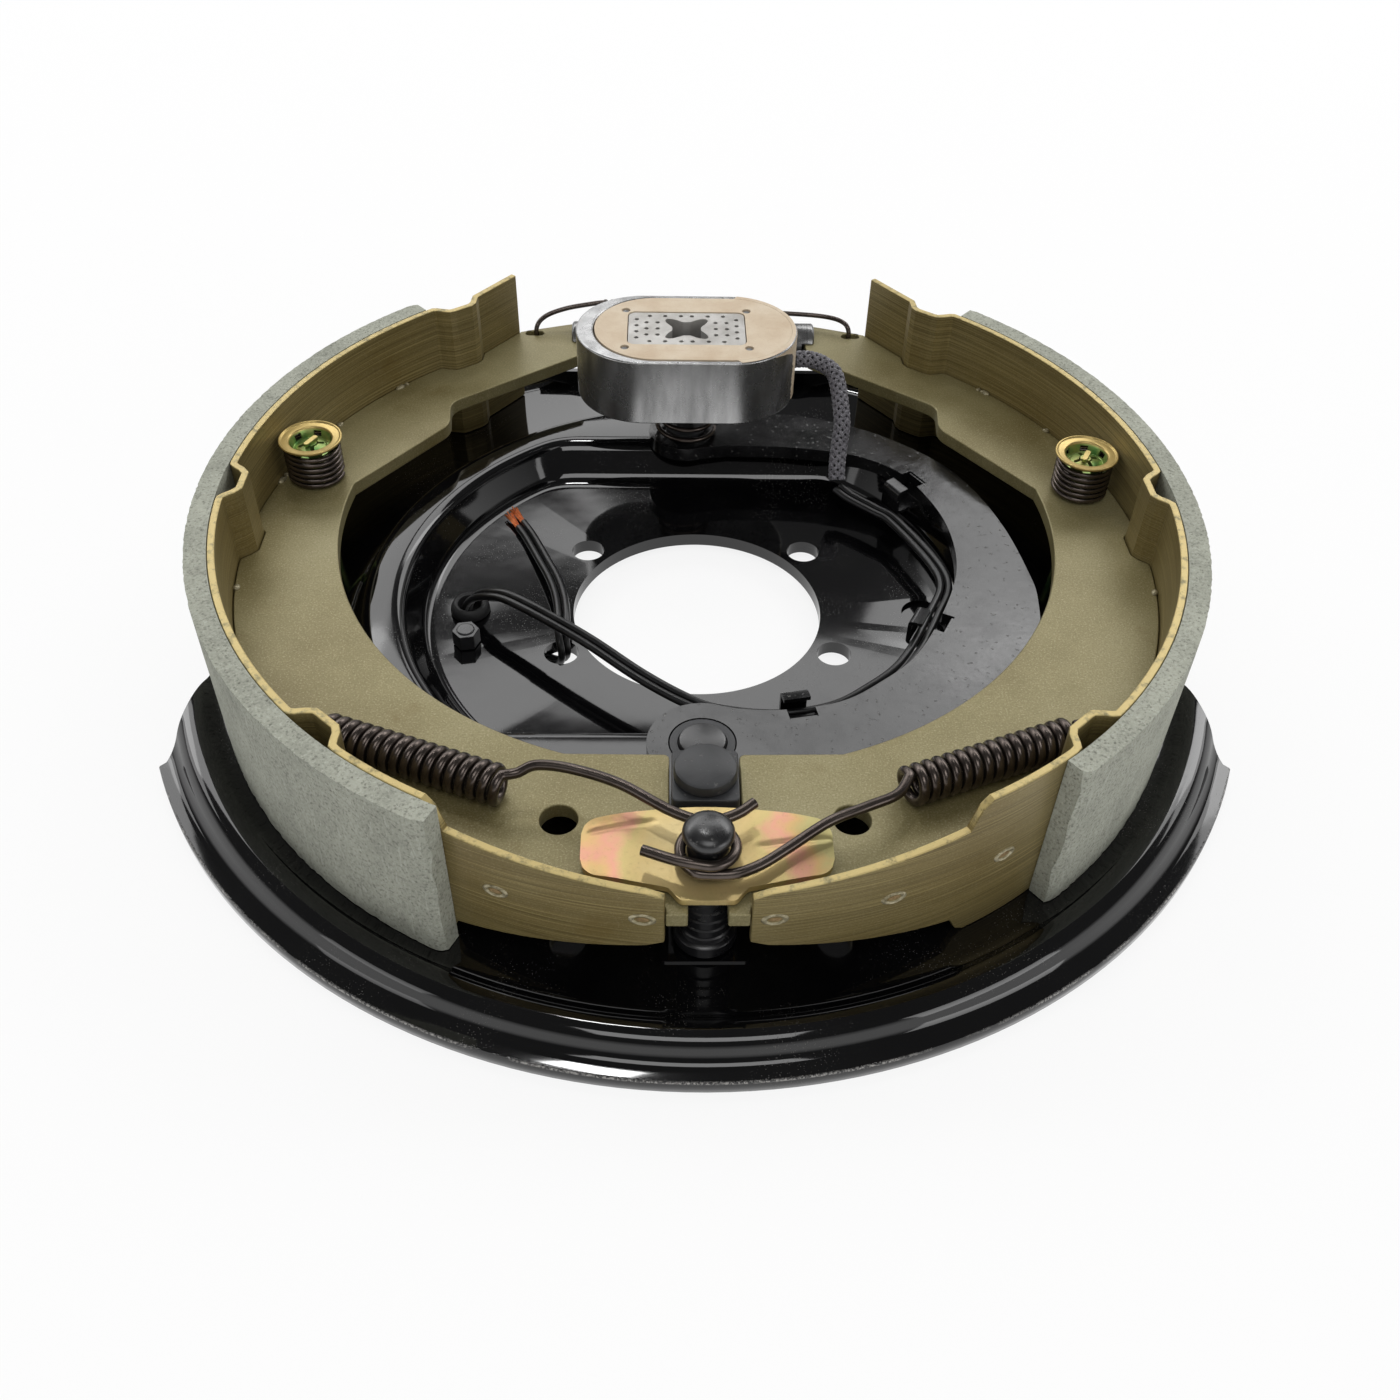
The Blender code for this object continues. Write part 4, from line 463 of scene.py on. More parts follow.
class Finish(Nodes):
    """A Principled material, with its pattern nodes added one by one."""

    def __init__(self, name, colour, roughness, metallic=0.0, **constants):
        self.material = bpy.data.materials.new(name)
        self.material.use_nodes = True
        super().__init__(self.material.node_tree)
        self.shader = self.tree.nodes["Principled BSDF"]
        self.shader.inputs["Base Color"].default_value = tone(*colour)
        for label, value in dict(constants, Roughness=roughness, Metallic=metallic).items():
            self.shader.inputs[label].default_value = value

    def place(self, stretch=EVEN, shift=(0.0, 0.0, 0.0)):
        """Place on the piece, stretched for a pattern."""
        spot = self.add("ShaderNodeTexCoord").outputs["Object"]
        moves = {"Vector": spot, "Scale": stretch, "Location": shift}
        return self.add("ShaderNodeMapping", moves).outputs[0]

    def height(self):
        """Height above the floor."""
        return self.add("ShaderNodeSeparateXYZ", {0: self.place()}).outputs["Z"]

    def reach(self, shift=(0.0, 0.0, 0.0)):
        """Distance in plan from the wheel axis, or from an axis that the shift gives."""
        spot = self.place((1.0, 1.0, 0.0), shift)
        return self.add("ShaderNodeVectorMath", {0: spot}, operation="LENGTH").outputs["Value"]

    def cloud(self, scale, detail=4.0, roughness=0.55, stretch=EVEN, distortion=0.0):
        """Soft noise from 0 to 1."""
        looks = {"Vector": self.place(stretch), "Scale": scale, "Detail": detail,
                 "Roughness": roughness, "Distortion": distortion}
        return self.add("ShaderNodeTexNoise", looks).outputs[0]

    def dots(self, scale, size):
        """Round dots: 1 inside them, 0 between them."""
        cells = self.add("ShaderNodeTexVoronoi", {"Vector": self.place(), "Scale": scale})
        return self.step(cells.outputs["Distance"], size, size * 0.6)

    def step(self, value, low, high):
        """0 to 1 as a value goes from low to high, with soft ends."""
        return self.add("ShaderNodeMapRange", {"Value": value, "From Min": low, "From Max": high},
                        interpolation_type="SMOOTHSTEP").outputs[0]

    def range(self, value, low, high):
        """A 0 to 1 value turned into another range."""
        return self.add("ShaderNodeMapRange",
                        {"Value": value, "To Min": low, "To Max": high}).outputs[0]

    def ramp(self, value, *stops):
        """Colours along a value: each stop is its place and its colour."""
        made = self.add("ShaderNodeValToRGB", {"Fac": value})
        line = made.color_ramp
        while len(line.elements) < len(stops):
            line.elements.new(0.5)
        for spot, (position, colour) in zip(line.elements, sorted(stops)):
            spot.position = position
            spot.color = tone(*colour)
        return made.outputs["Color"]

    def over(self, base, share, colour):
        """Lay a colour over the base by a share."""
        return self.add("ShaderNodeMix", {0: share, 6: base, 7: tone(*colour)},
                        data_type="RGBA").outputs[2]

    def tint(self, base, share, most, colour):
        """Lay a colour thinly over the base: most says how much where the share is 1."""
        return self.over(base, self.times(share, most), colour)

    def marks(self, base, pattern, low, high, most, colour):
        """Lay a colour thinly over the base where a pattern goes from low to high."""
        return self.tint(base, self.step(pattern, low, high), most, colour)

    def set(self, colour, roughness=None, metallic=None):
        """Link patterns to the shader."""
        patterns = {"Base Color": colour, "Roughness": roughness, "Metallic": metallic}
        for label, socket in patterns.items():
            if socket is not None:
                self.tree.links.new(socket, self.shader.inputs[label])

    def relief(self, *layers):
        """Bumps, each with its height in metres; gives the finished material."""
        normal = None
        for height, distance in layers:
            inputs = {"Height": height, "Distance": distance, "Strength": 1.0}
            if normal is not None:
                inputs["Normal"] = normal
            normal = self.add("ShaderNodeBump", inputs).outputs[0]
        self.tree.links.new(normal, self.shader.inputs["Normal"])
        return self.material


def black_enamel():
    """Thick gloss paint of the backing plate, with dust on it and bare chips along the rim."""
    made = Finish("black enamel", (7, 7, 8), 0.08, IOR=1.62)
    patch = made.cloud(22.0, 5.0, 0.6)
    dust = made.math("MAXIMUM", made.dots(900.0, 0.15), made.dots(1500.0, 0.17))
    dust = made.times(dust, made.step(made.cloud(45.0, 3.0), 0.46, 0.70))
    base = made.ramp(patch, (0.35, (4, 4, 5)), (0.65, (11, 11, 12)))
    base = made.tint(base, dust, 0.34, (142, 138, 132))
    edge = made.times(made.step(made.reach(), 0.1713, 0.1719),
                      made.step(made.height(), 0.0036, 0.0042))
    edge = made.times(edge, made.step(made.cloud(1500.0, 4.0, 0.7), 0.44, 0.54))
    edge = made.times(edge, made.step(made.cloud(60.0, 3.0), 0.36, 0.50))
    haze = made.times(made.cloud(9.0, 4.0, 0.7), made.cloud(400.0, 3.0))
    rough = made.math("ADD", made.range(haze, 0.05, 0.08), made.times(dust, 0.5))
    rough = made.math("ADD", rough, made.times(edge, 0.25))
    made.set(made.over(base, edge, (150, 148, 145)), rough, edge)
    return made.relief((made.cloud(60.0, 2.0, 0.5), 0.00002), (edge, -0.00010))


def black_iron(name, colour, roughness, gloss):
    """Black finish of the lever, the block and the post, dulled in patches by handling."""
    made = Finish(name, colour, roughness, IOR=gloss)
    patch = made.cloud(55.0, 7.0, 0.7, distortion=0.6)
    light = tuple(min(255, value * 1.2 + 5) for value in colour)
    dark = tuple(value * 0.8 for value in colour)
    nick = made.step(made.cloud(620.0, 3.0, 0.6), 0.64, 0.72)
    base = made.ramp(patch, (0.34, dark), (0.52, colour), (0.70, light))
    made.set(made.tint(base, nick, 0.30, (120, 118, 114)),
             made.range(made.step(patch, 0.36, 0.66), roughness - 0.04, roughness + 0.05))
    return made.relief((made.cloud(260.0, 3.0), 0.00005), (nick, -0.00004))


def shoe_paint(name, lined):
    """Olive bronze coat of the shoes, finely speckled; rolling lines show on the tables."""
    made = Finish(name, (134, 125, 88), 0.40, 0.35)
    patch = made.cloud(24.0, 4.0, 0.55)
    speck = made.cloud(1900.0, 3.0, 0.7)
    lines = made.cloud(1.0, 4.0, 0.6, (14.0, 14.0, 2600.0))
    base = made.ramp(patch, (0.30, (112, 101, 62)), (0.52, (131, 122, 84)),
                     (0.74, (143, 135, 99)))
    base = made.marks(base, speck, 0.52, 0.68, 0.34, (186, 178, 146))
    base = made.marks(base, speck, 0.48, 0.34, 0.28, (84, 74, 44))
    base = made.marks(base, made.cloud(58.0, 5.0, 0.62), 0.60, 0.74, 0.42, (104, 84, 38))
    if lined:
        normal = made.add("ShaderNodeNewGeometry").outputs["Normal"]
        upward = made.add("ShaderNodeSeparateXYZ", {0: normal}).outputs["Z"]
        level = made.step(made.math("ABSOLUTE", upward, 0.0), 0.30, 0.75)
        wall = made.math("SUBTRACT", 1.0, level)
        base = made.tint(base, wall, 0.45, (128, 107, 56))
        for low, high, most, colour in ((0.54, 0.66, 0.50, (172, 156, 104)),
                                        (0.50, 0.38, 0.45, (74, 61, 30))):
            base = made.over(base, made.times(made.times(made.step(lines, low, high), most), wall),
                             colour)
        # Pale gold on faces that look up or down (table edges): worn paint and a painted highlight
        wear_and_highlight = made.times(level, made.step(made.cloud(300.0, 4.0, 0.65), 0.30, 0.52))
        base = made.tint(base, wear_and_highlight, 0.75, (206, 184, 122))
    made.set(base, made.range(patch, 0.34, 0.48))
    return made.relief((lines if lined else speck, 0.00004), (patch, 0.00004))


def lining_stuff():
    """Moulded friction lining, grey green, with chips, scratches and fine pressed lines."""
    made = Finish("friction lining", (146, 149, 138), 0.85)
    patch = made.cloud(60.0, 6.0, 0.66)
    grit = made.cloud(1100.0, 4.0, 0.75)
    fleck = made.dots(620.0, 0.24)
    upright = made.cloud(1.0, 3.0, 0.65, (900.0, 900.0, 150.0), 1.2)
    level = made.cloud(1.0, 4.0, 0.6, (60.0, 60.0, 1000.0))
    base = made.ramp(patch, (0.25, (140, 142, 130)), (0.50, (158, 160, 147)),
                     (0.75, (174, 176, 162)))
    base = made.marks(base, grit, 0.50, 0.34, 0.55, (84, 85, 76))
    base = made.marks(base, grit, 0.54, 0.70, 0.45, (192, 194, 182))
    base = made.marks(base, upright, 0.56, 0.68, 0.45, (190, 192, 180))
    base = made.marks(base, level, 0.60, 0.74, 0.30, (104, 104, 94))
    made.set(made.tint(base, fleck, 0.40, (72, 70, 60)))
    return made.relief((patch, 0.00022), (grit, 0.00016), (fleck, 0.00010))


def oiled_spring():
    """Dark brown black oiled wire."""
    made = Finish("oiled spring wire", (88, 80, 76), 0.20, 0.9)
    patch = made.cloud(160.0, 5.0, 0.6)
    made.set(made.ramp(patch, (0.30, (76, 68, 64)), (0.55, (90, 82, 77)), (0.80, (106, 96, 90))),
             made.range(patch, 0.22, 0.30))
    return made.relief((made.cloud(1600.0, 3.0), 0.000004))


def yellow_zinc():
    """Passivated zinc: pale gold, with a faint pink and green shimmer towards its ends."""
    made = Finish("yellow zinc of the guide plate", (206, 188, 138), 0.34, 0.7)
    across = made.reach((0.0, -ANCHOR_Y, 0.0))
    waver = made.times(made.math("SUBTRACT", made.cloud(45.0, 4.0, 0.6), 0.5), 0.040)
    place = made.times(made.math("ADD", across, waver), 28.0)
    base = made.ramp(place, (0.20, (204, 184, 134)), (0.40, (206, 182, 126)),
                     (0.54, (200, 180, 122)), (0.68, (216, 158, 134)),
                     (0.80, (208, 172, 118)), (0.94, (188, 178, 122)))
    fine = made.cloud(900.0, 4.0, 0.7)
    base = made.marks(base, made.cloud(130.0, 5.0, 0.65), 0.60, 0.78, 0.4, (146, 126, 84))
    made.set(made.marks(base, fine, 0.56, 0.72, 0.30, (160, 140, 98)),
             made.range(fine, 0.26, 0.46))
    return made.relief((fine, 0.00004))


def cup_zinc():
    """Green tinted zinc of the hold-down cups."""
    made = Finish("green zinc of the cups", (150, 158, 92), 0.30, 0.7)
    patch = made.cloud(180.0, 3.0)
    rim = made.step(made.height(), 0.0470, 0.0478)
    base = made.ramp(patch, (0.32, (92, 138, 72)), (0.52, (146, 166, 96)),
                     (0.72, (176, 170, 104)))
    made.set(made.over(base, rim, (190, 166, 104)), made.range(patch, 0.24, 0.40))
    return made.relief((made.cloud(900.0, 3.0), 0.00002))


def bright_steel(name, stretch, shade, metallic):
    """Ground or drawn steel with lines; the magnet case's broad ones are painted reflections."""
    made = Finish(name, (shade, shade, shade - 3), 0.26, metallic)
    lines = made.cloud(1.0, 4.0, 0.6, stretch)
    patch = made.cloud(90.0, 5.0, 0.65)
    dark, middle, light = [(shade * level,) * 3 for level in (0.74, 1.0, 1.12)]
    base = made.ramp(lines, (0.25, dark), (0.55, middle), (0.80, light))
    made.set(made.marks(base, patch, 0.56, 0.74, 0.22, (112, 106, 96)),
             made.range(patch, 0.20, 0.34))
    return made.relief((lines, 0.00001))


def tan_face():
    """Magnet's friction face: pale tan moulding with fine grit and rubbed marks."""
    made = Finish("tan friction face", (222, 198, 168), 0.55)
    patch = made.cloud(90.0, 5.0, 0.6)
    grit = made.dots(1300.0, 0.26)
    rubbed = made.cloud(1.0, 4.0, 0.6, (60.0, 420.0, 60.0))
    base = made.ramp(patch, (0.30, (192, 170, 142)), (0.55, (205, 188, 163)),
                     (0.80, (214, 200, 180)))
    base = made.marks(base, rubbed, 0.58, 0.74, 0.35, (188, 160, 130))
    made.set(made.tint(base, grit, 0.30, (170, 138, 104)), made.range(patch, 0.45, 0.66))
    return made.relief((patch, 0.00005), (grit, 0.00003))


def core_metal():
    """Pale satin metal of the core plate."""
    made = Finish("core plate metal", (186, 184, 180), 0.38, 0.55)
    patch = made.cloud(150.0, 5.0)
    fine = made.cloud(1500.0, 3.0, 0.7)
    base = made.ramp(patch, (0.30, (168, 165, 160)), (0.70, (200, 198, 194)))
    made.set(made.marks(base, fine, 0.54, 0.70, 0.25, (140, 134, 124)),
             made.range(patch, 0.30, 0.48))
    return made.relief((fine, 0.00002))


def rust():
    """Rusty centre of a weld mark."""
    made = Finish("rusty weld centre", (128, 96, 62), 0.70)
    patch = made.cloud(900.0, 5.0, 0.7)
    made.set(made.ramp(patch, (0.30, (98, 80, 50)), (0.52, (132, 108, 70)),
                       (0.75, (158, 134, 96))))
    return made.relief((patch, 0.00008))


def weld_metal():
    """Pale spatter and rims of the welds."""
    made = Finish("weld metal", (150, 143, 114), 0.40, 0.5)
    patch = made.cloud(700.0, 4.0, 0.6)
    made.set(made.ramp(patch, (0.30, (116, 107, 78)), (0.70, (178, 170, 142))),
             made.range(patch, 0.30, 0.50))
    return made.relief((patch, 0.00005))


def yarn():
    """Glossy grey yarn of the braid, over a black core."""
    made = Finish("braid yarn", (108, 106, 110), 0.36)
    strand = made.cloud(2600.0, 3.0, 0.6)
    core = made.add("ShaderNodeAttribute", attribute_name="core").outputs["Fac"]
    base = made.ramp(strand, (0.34, (74, 72, 76)), (0.52, (110, 108, 113)),
                     (0.72, (150, 148, 154)))
    made.set(made.over(base, core, (6, 6, 7)), made.range(strand, 0.28, 0.44))
    return made.relief((strand, 0.00003))


def rubber(name, colour, roughness):
    """Moulded rubber or cable insulation."""
    made = Finish(name, colour, roughness)
    patch = made.cloud(140.0, 4.0)
    light = tuple(value + 14 for value in colour)
    made.set(made.ramp(patch, (0.35, colour), (0.75, light)),
             made.range(patch, roughness - 0.06, roughness + 0.1))
    return made.relief((made.cloud(900.0, 3.0), 0.00002))


def copper():
    """Bare copper strands."""
    made = Finish("bare copper", (218, 116, 66), 0.30, 0.8)
    made.set(made.ramp(made.cloud(700.0, 3.0), (0.30, (196, 92, 46)), (0.70, (236, 146, 92))))
    return made.material


# Each finish with the slot of the model that it stands for
ENAMEL = black_enamel(), "black_paint"
LEVER_IRON = black_iron("lever paint", (14, 14, 15), 0.17, 1.62), "black_steel"
BLOCK_IRON = black_iron("block steel", (50, 51, 53), 0.46, 1.5), "black_steel"
POST_IRON = black_iron("post steel", (20, 20, 22), 0.30, 1.7), "black_steel"
TABLE_COAT = shoe_paint("shoe coat on the tables", True), "olive_paint"
WEB_COAT = shoe_paint("shoe coat on the webs", False), "olive_paint"
LINING = lining_stuff(), "friction_lining"
SPRING = oiled_spring(), "spring_steel"
ZINC = yellow_zinc(), "yellow_zinc"
CUP_ZINC = cup_zinc(), "yellow_zinc"
CASE_STEEL, RIVET_STEEL, ADJUSTER_STEEL = [(bright_steel(*looks), "bright_steel") for looks in (
    # Magnet case: broad upright bands of lighter and darker colour are painted reflections
    ("magnet steel with painted reflection streaks", (130.0, 130.0, 24.0), 176, 0.9),
    ("dull steel of the rivets", (300.0, 300.0, 300.0), 116, 0.3),
    ("turned steel of the adjuster", (1900.0, 40.0, 40.0), 128, 0.8))]
TAN = tan_face(), "friction_face"
CORE = core_metal(), "bright_steel"
RUST = rust(), "olive_paint"
WELD = weld_metal(), "olive_paint"
GROMMET_RUBBER = rubber("grommet rubber", (22, 22, 23), 0.55), "rubber"
INSULATION = rubber("lead insulation", (13, 13, 14), 0.30), "insulation"
BRAID = yarn(), "braid"
COPPER = copper(), "copper"


# Camera, floor and light ----------------------------------------------------------------

LAMP_DISTANCE = 2.5
WORLD_LIGHT = 0.46
CEILING = (0.22, 0.46)        # from where up it dims, as height of a direction
CEILING_LIGHT = 0.10
LENS = 34.62                  # millimetres
SENSOR_WIDTH = 36.0
EYE = (-0.01084, -0.33963, 0.29385)
LOOKS_AT = (0.00054, -0.03532, 0.0)
CAMERA_ROLL = 1.675           # degrees
FLOOR_SIZE = 4.0
FLOOR_HEIGHT = -0.0002
FLOOR_GREY = 0.85
FLOOR_GLOW = 0.86
# Name, heading from +Y and height in degrees, width and height in metres, radiance
LAMPS = (("far lamp", 0.0, 47.5, 4.6, 0.50, 2.6),
         ("left lamp", -34.0, 34.0, 2.7, 0.70, 2.2),
         ("right lamp", 40.0, 35.0, 1.9, 0.80, 2.4),
         ("front lamp", 180.0, 62.0, 1.2, 1.0, 3.0),
         ("small lamp", -10.0, 66.0, 0.20, 0.20, 30.0),
         ("right side lamp", 128.0, 20.0, 1.2, 0.80, 2.2),
         ("left side lamp", -122.0, 20.0, 0.9, 0.70, 1.2))


def aimed(place, way):
    """Place and turn of a camera or lamp that looks a way."""
    return Matrix.Translation(place) @ way.to_track_quat("-Z", "Y").to_matrix().to_4x4()


def place_camera():
    """Camera at the photo's angle."""
    data = bpy.data.cameras.new("camera")
    data.lens = LENS
    data.sensor_width = SENSOR_WIDTH
    data.clip_start = 0.01
    camera = linked("camera", data)
    view = aimed(Vector(EYE), Vector(LOOKS_AT) - Vector(EYE))
    camera.matrix_world = view @ Matrix.Rotation(math.radians(CAMERA_ROLL), 4, "Z")
    bpy.context.scene.camera = camera


def seen_directly(nodes):
    """1 for what the camera sees directly or in a mirror, else 0."""
    path = nodes.add("ShaderNodeLightPath").outputs
    return nodes.math("MAXIMUM", path["Is Camera Ray"], path["Is Glossy Ray"])


def build_floor():
    """Plain pale floor that keeps a faint shadow."""
    shape = bmesh.new()
    bmesh.ops.create_grid(shape, x_segments=1, y_segments=1, size=FLOOR_SIZE)
    bmesh.ops.translate(shape, verts=shape.verts, vec=(0.0, 0.0, FLOOR_HEIGHT))
    floor = linked("floor", meshed("floor", shape))
    material = bpy.data.materials.new("pale floor")
    material.use_nodes = True
    nodes = Nodes(material.node_tree)
    nodes.tree.nodes.clear()
    matt = nodes.add("ShaderNodeBsdfDiffuse", {"Color": (FLOOR_GREY,) * 3 + (1.0,)})
    glow = nodes.add("ShaderNodeEmission")
    share = nodes.times(seen_directly(nodes), FLOOR_GLOW)
    mixed = nodes.add("ShaderNodeMixShader",
                      {0: share, 1: matt.outputs[0], 2: glow.outputs[0]})
    nodes.add("ShaderNodeOutputMaterial", {0: mixed.outputs[0]})
    floor.data.materials.append(material)


def build_world():
    """White surroundings, dimmer as a light; mirrored from above they are a dim ceiling."""
    world = bpy.data.worlds.new("studio")
    bpy.context.scene.world = world
    world.use_nodes = True
    nodes = Nodes(world.node_tree)
    place = nodes.add("ShaderNodeTexCoord").outputs["Generated"]
    height = nodes.add("ShaderNodeSeparateXYZ", {0: place}).outputs["Z"]
    dimming = {"Value": height, "From Min": CEILING[0], "From Max": CEILING[1],
               "To Min": 1.0, "To Max": CEILING_LIGHT}
    ceiling = nodes.add("ShaderNodeMapRange", dimming).outputs[0]
    camera = nodes.add("ShaderNodeLightPath").outputs["Is Camera Ray"]
    seen = nodes.math("MAXIMUM", camera, ceiling)
    level = nodes.add("ShaderNodeMapRange", {"Value": seen_directly(nodes),
                                             "To Min": WORLD_LIGHT, "To Max": seen}).outputs[0]
    background = nodes.tree.nodes["Background"].inputs
    nodes.feed(background[0], (1.0, 1.0, 1.0, 1.0))
    nodes.feed(background[1], level)


def add_lamp(name, azimuth, elevation, width, height, radiance):
    """A soft rectangular studio lamp, aimed at the brake."""
    data = bpy.data.lights.new(name, "AREA")
    data.shape = "RECTANGLE"
    data.size = width
    data.size_y = height
    data.energy = radiance * math.pi * width * height
    heading, rise = math.radians(azimuth), math.radians(elevation)
    level = LAMP_DISTANCE * math.cos(rise)
    place = Vector((level * math.sin(heading), level * math.cos(heading),
                    LAMP_DISTANCE * math.sin(rise)))
    linked(name, data).matrix_world = aimed(place, -place)


place_camera()
build_floor()
build_world()
for lamp in LAMPS:
    add_lamp(*lamp)
bpy.context.scene.view_settings.view_transform = "Standard"

# Leads and sleeve -----------------------------------------------------------------------

# Angle and distance outside the ring's inner edge
LEVER_INNER = ring_points(((-70.5, -0.0281), (-57.0, -0.0236), (-45.2, -0.0220), (-31.1, -0.0197),
                           (-11.9, -0.0169), (2.5, -0.0125), (16.8, -0.0092), (29.8, -0.0071),
                           (38.9, -0.0065), (49.5, -0.0103), (63.4, -0.0182), (80.4, -0.0245)))
LEVER_OUTER = ring_points(((77.9, -0.0014), (65.0, 0.0028), (50.9, 0.0066), (36.5, 0.0093),
                           (25.1, 0.0095), (12.6, 0.0090), (0.0, 0.0100), (-7.5, 0.0114),
                           (-18.3, 0.0120), (-31.9, 0.0095), (-50.6, 0.0044), (-70.0, -0.0002)))
# The same, with a height
LEAD_START = ((47.2, -0.0226, 0.0182), (42.5, -0.0225, 0.0172), (34.7, -0.0210, 0.0170),
              (26.9, -0.0191, 0.0170))
LEAD_CROSSING = ((-85.1, -0.0378, 0.0178), (-95.2, -0.0418, 0.0188), (-111.6, -0.0476, 0.0200),
                 (-135.9, -0.0498, 0.0218), (-156.9, -0.0443, 0.0218))
LEAD_TAIL = ((-156.2, -0.0495, 0.0122), (-167.0, -0.0520, 0.0134), (180.0, -0.0517, 0.0130),
             (168.1, -0.0480, 0.0120), (157.8, -0.0409, 0.0108), (147.9, -0.0287, 0.0096),
             (144.4, -0.0209, 0.0093))
# Distance from the grommet or the bolt hole, and height
LEAD_DOWN = ((0.0165, 0.0208), (0.0095, 0.0190), (0.0035, 0.0155), (0.0000, 0.0115),
             (-0.0016, 0.0075), (-0.0012, 0.0044), (0.0012, 0.0021), (0.0045, 0.0015),
             (0.0110, 0.0015))
LEAD_UP = ((-0.0130, 0.0015), (-0.0067, 0.0015), (-0.0027, 0.0021), (0.0005, 0.0048),
           (0.0013, 0.0085))
# From the magnet's end and from the leads, with a height
SLEEVE_START = ((0.0003, 0.0025, 0.0520), (0.0054, 0.0029, 0.0518), (0.0106, 0.0025, 0.0500),
                (0.0149, -0.0010, 0.0470))
SLEEVE_END = ((0.0013, 0.0143, 0.0370), (0.0006, 0.0098, 0.0310), (-0.0002, 0.0048, 0.0250),
              (-0.0002, 0.0016, 0.0205))
STRANDS = 14
STRAND_RADIUS = 0.00026
STRAND_SPREAD = 0.00066
STRIPPED_LENGTH = 0.0082
CARRIERS = 6                  # pairs of yarn each way round the braid
BRAID_TURNS = 3.2
YARN_RADIUS = 0.00036
YARN_CIRCLE = SLEEVE_DIAMETER / 2 - 0.00062
YARN_SWING = 0.00024


def ring_line(spots):
    """Points from angle, distance outside the ring's inner edge, and height."""
    return [(*polar(angle, RING_INNER + offset), height) for angle, offset, height in spots]


def lead_route():
    """Middle of the pair of leads, from the sleeve to the bare ends."""
    height = LEVER_LOW - LEAD_DIAMETER / 2 - 1.5 * GAP
    beside = beside_line(LEVER_INNER[:6], -(LEAD_SPACING + LEAD_DIAMETER) / 2 - LEAD_PLAY)
    along = [(x, y, height) for x, y in reversed(beside)]
    grommet = Vector(GROMMET)
    hole = Vector(polar(BOLT_ANGLES[-1], BOLT_CIRCLE))
    way = (hole - grommet).normalized()
    under = [(*(start + way * distance), level)
             for start, spots in ((grommet, LEAD_DOWN), (hole, LEAD_UP))
             for distance, level in spots]
    route = ring_line(LEAD_START) + along + ring_line(LEAD_CROSSING) + under
    return smooth_line(route + ring_line(LEAD_TAIL), 8)


def lead_line(offset, shorten):
    """One lead of the pair, beside the common route."""
    centre = lead_route()
    start = centre[1] - centre[0]
    side = Vector((start.y, -start.x, 0.0))
    line = []
    for point, before, after in neighbours(centre):
        along = (after - before).normalized()
        side.z *= 1.0 - 0.15 * (1.0 - along.z ** 2)
        side = (side - along * side.dot(along)).normalized()
        line.append(point + side * offset)
    return line[:-shorten or None]


def bare_strands(start, along, length):
    """Copper strands of a stripped end, slightly fanned out."""
    side = Vector((-along.y, along.x, 0.0))
    up = Vector((0.0, 0.0, 1.0))
    shapes = []
    for index in range(STRANDS):
        angle = index * 2.4
        reach = STRAND_SPREAD * math.sqrt(index / (STRANDS - 1))
        out = side * math.cos(angle) + up * math.sin(angle) * 0.7
        fan = 1.0 + 0.5 * noise.noise(Vector((index * 3.1, start.x * 90, 0.3)))
        points = []
        for step in range(9):
            share = step / 8
            bend = out * (reach * (1.0 + 1.6 * share ** 2 * fan))
            wave = side * (0.00018 * math.sin(share * 5 + index))
            ahead = along * (length * share * (0.92 + 0.02 * index % 3))
            points.append(start + ahead + bend + wave * share)
        shapes.append(tube(points, STRAND_RADIUS, 6))
    return joined(shapes)


def build_leads():
    """Two leads with stripped ends."""
    for label, offset, shorten in (("a", LEAD_SPACING / 2, 0), ("b", -LEAD_SPACING / 2, 2)):
        line = even_line(lead_line(offset, shorten), 0.0018)
        lead = shown(f"cable_{label}", tube(line, LEAD_DIAMETER / 2, 14), INSULATION, None,
                     f"lead_{label}")
        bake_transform(lead)
        along = line[-1] - line[-3]
        along.z = 0.0
        along.normalize()
        strands = bare_strands(line[-1] - along * 0.0005, along, STRIPPED_LENGTH)
        ends = shown(f"stripped_strands_{label}", strands, COPPER, "plate", f"bare_end_{label}")


def braid_line(frames, phase, hand):
    """One strand of the braid, over and under those that cross it."""
    points = []
    count = len(frames) - 1
    for index, (place, _, side, up) in enumerate(frames):
        swing = 2 * math.pi * BRAID_TURNS * index / count
        angle = hand * swing + phase
        reach = YARN_CIRCLE + YARN_SWING * hand * math.cos(CARRIERS * swing)
        points.append(round_place(place, side, up, reach, angle))
    return points


def build_sleeve():
    """Braided sleeve over both leads, from the magnet down to the lever."""
    end_x = MAGNET_X + MAGNET_LENGTH / 2
    lead_x, lead_y, _ = ring_line(LEAD_START[:1])[0]
    route = [(end_x + x, MAGNET_Y + y, z) for x, y, z in SLEEVE_START]
    route += [(lead_x + x, lead_y + y, z) for x, y, z in SLEEVE_END]
    line = even_line(smooth_line(route, 12), 0.0006)
    core = even_line(line, 0.0016)
    shapes = [tube(core, SLEEVE_DIAMETER / 2 - 0.0010, 20)]
    inside = len(shapes[0].verts)
    frames = carried_frames(line)
    for index in range(CARRIERS):
        for hand in (1, -1):
            for beside in (-0.13, 0.13):
                strand = braid_line(frames, 2 * math.pi * index / CARRIERS + beside, hand)
                shapes.append(tube(strand, YARN_RADIUS, 6))
    whole = joined(shapes)
    mark = whole.verts.layers.float.new("core")
    whole.verts.ensure_lookup_table()
    for vert in whole.verts[:inside]:
        vert[mark] = 1.0
    sleeve = shown("braided_sleeve", whole, BRAID, None, "lead_sleeve")
    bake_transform(sleeve)


build_leads()
build_sleeve()


# Backing plate and what is fixed in it --------------------------------------------------

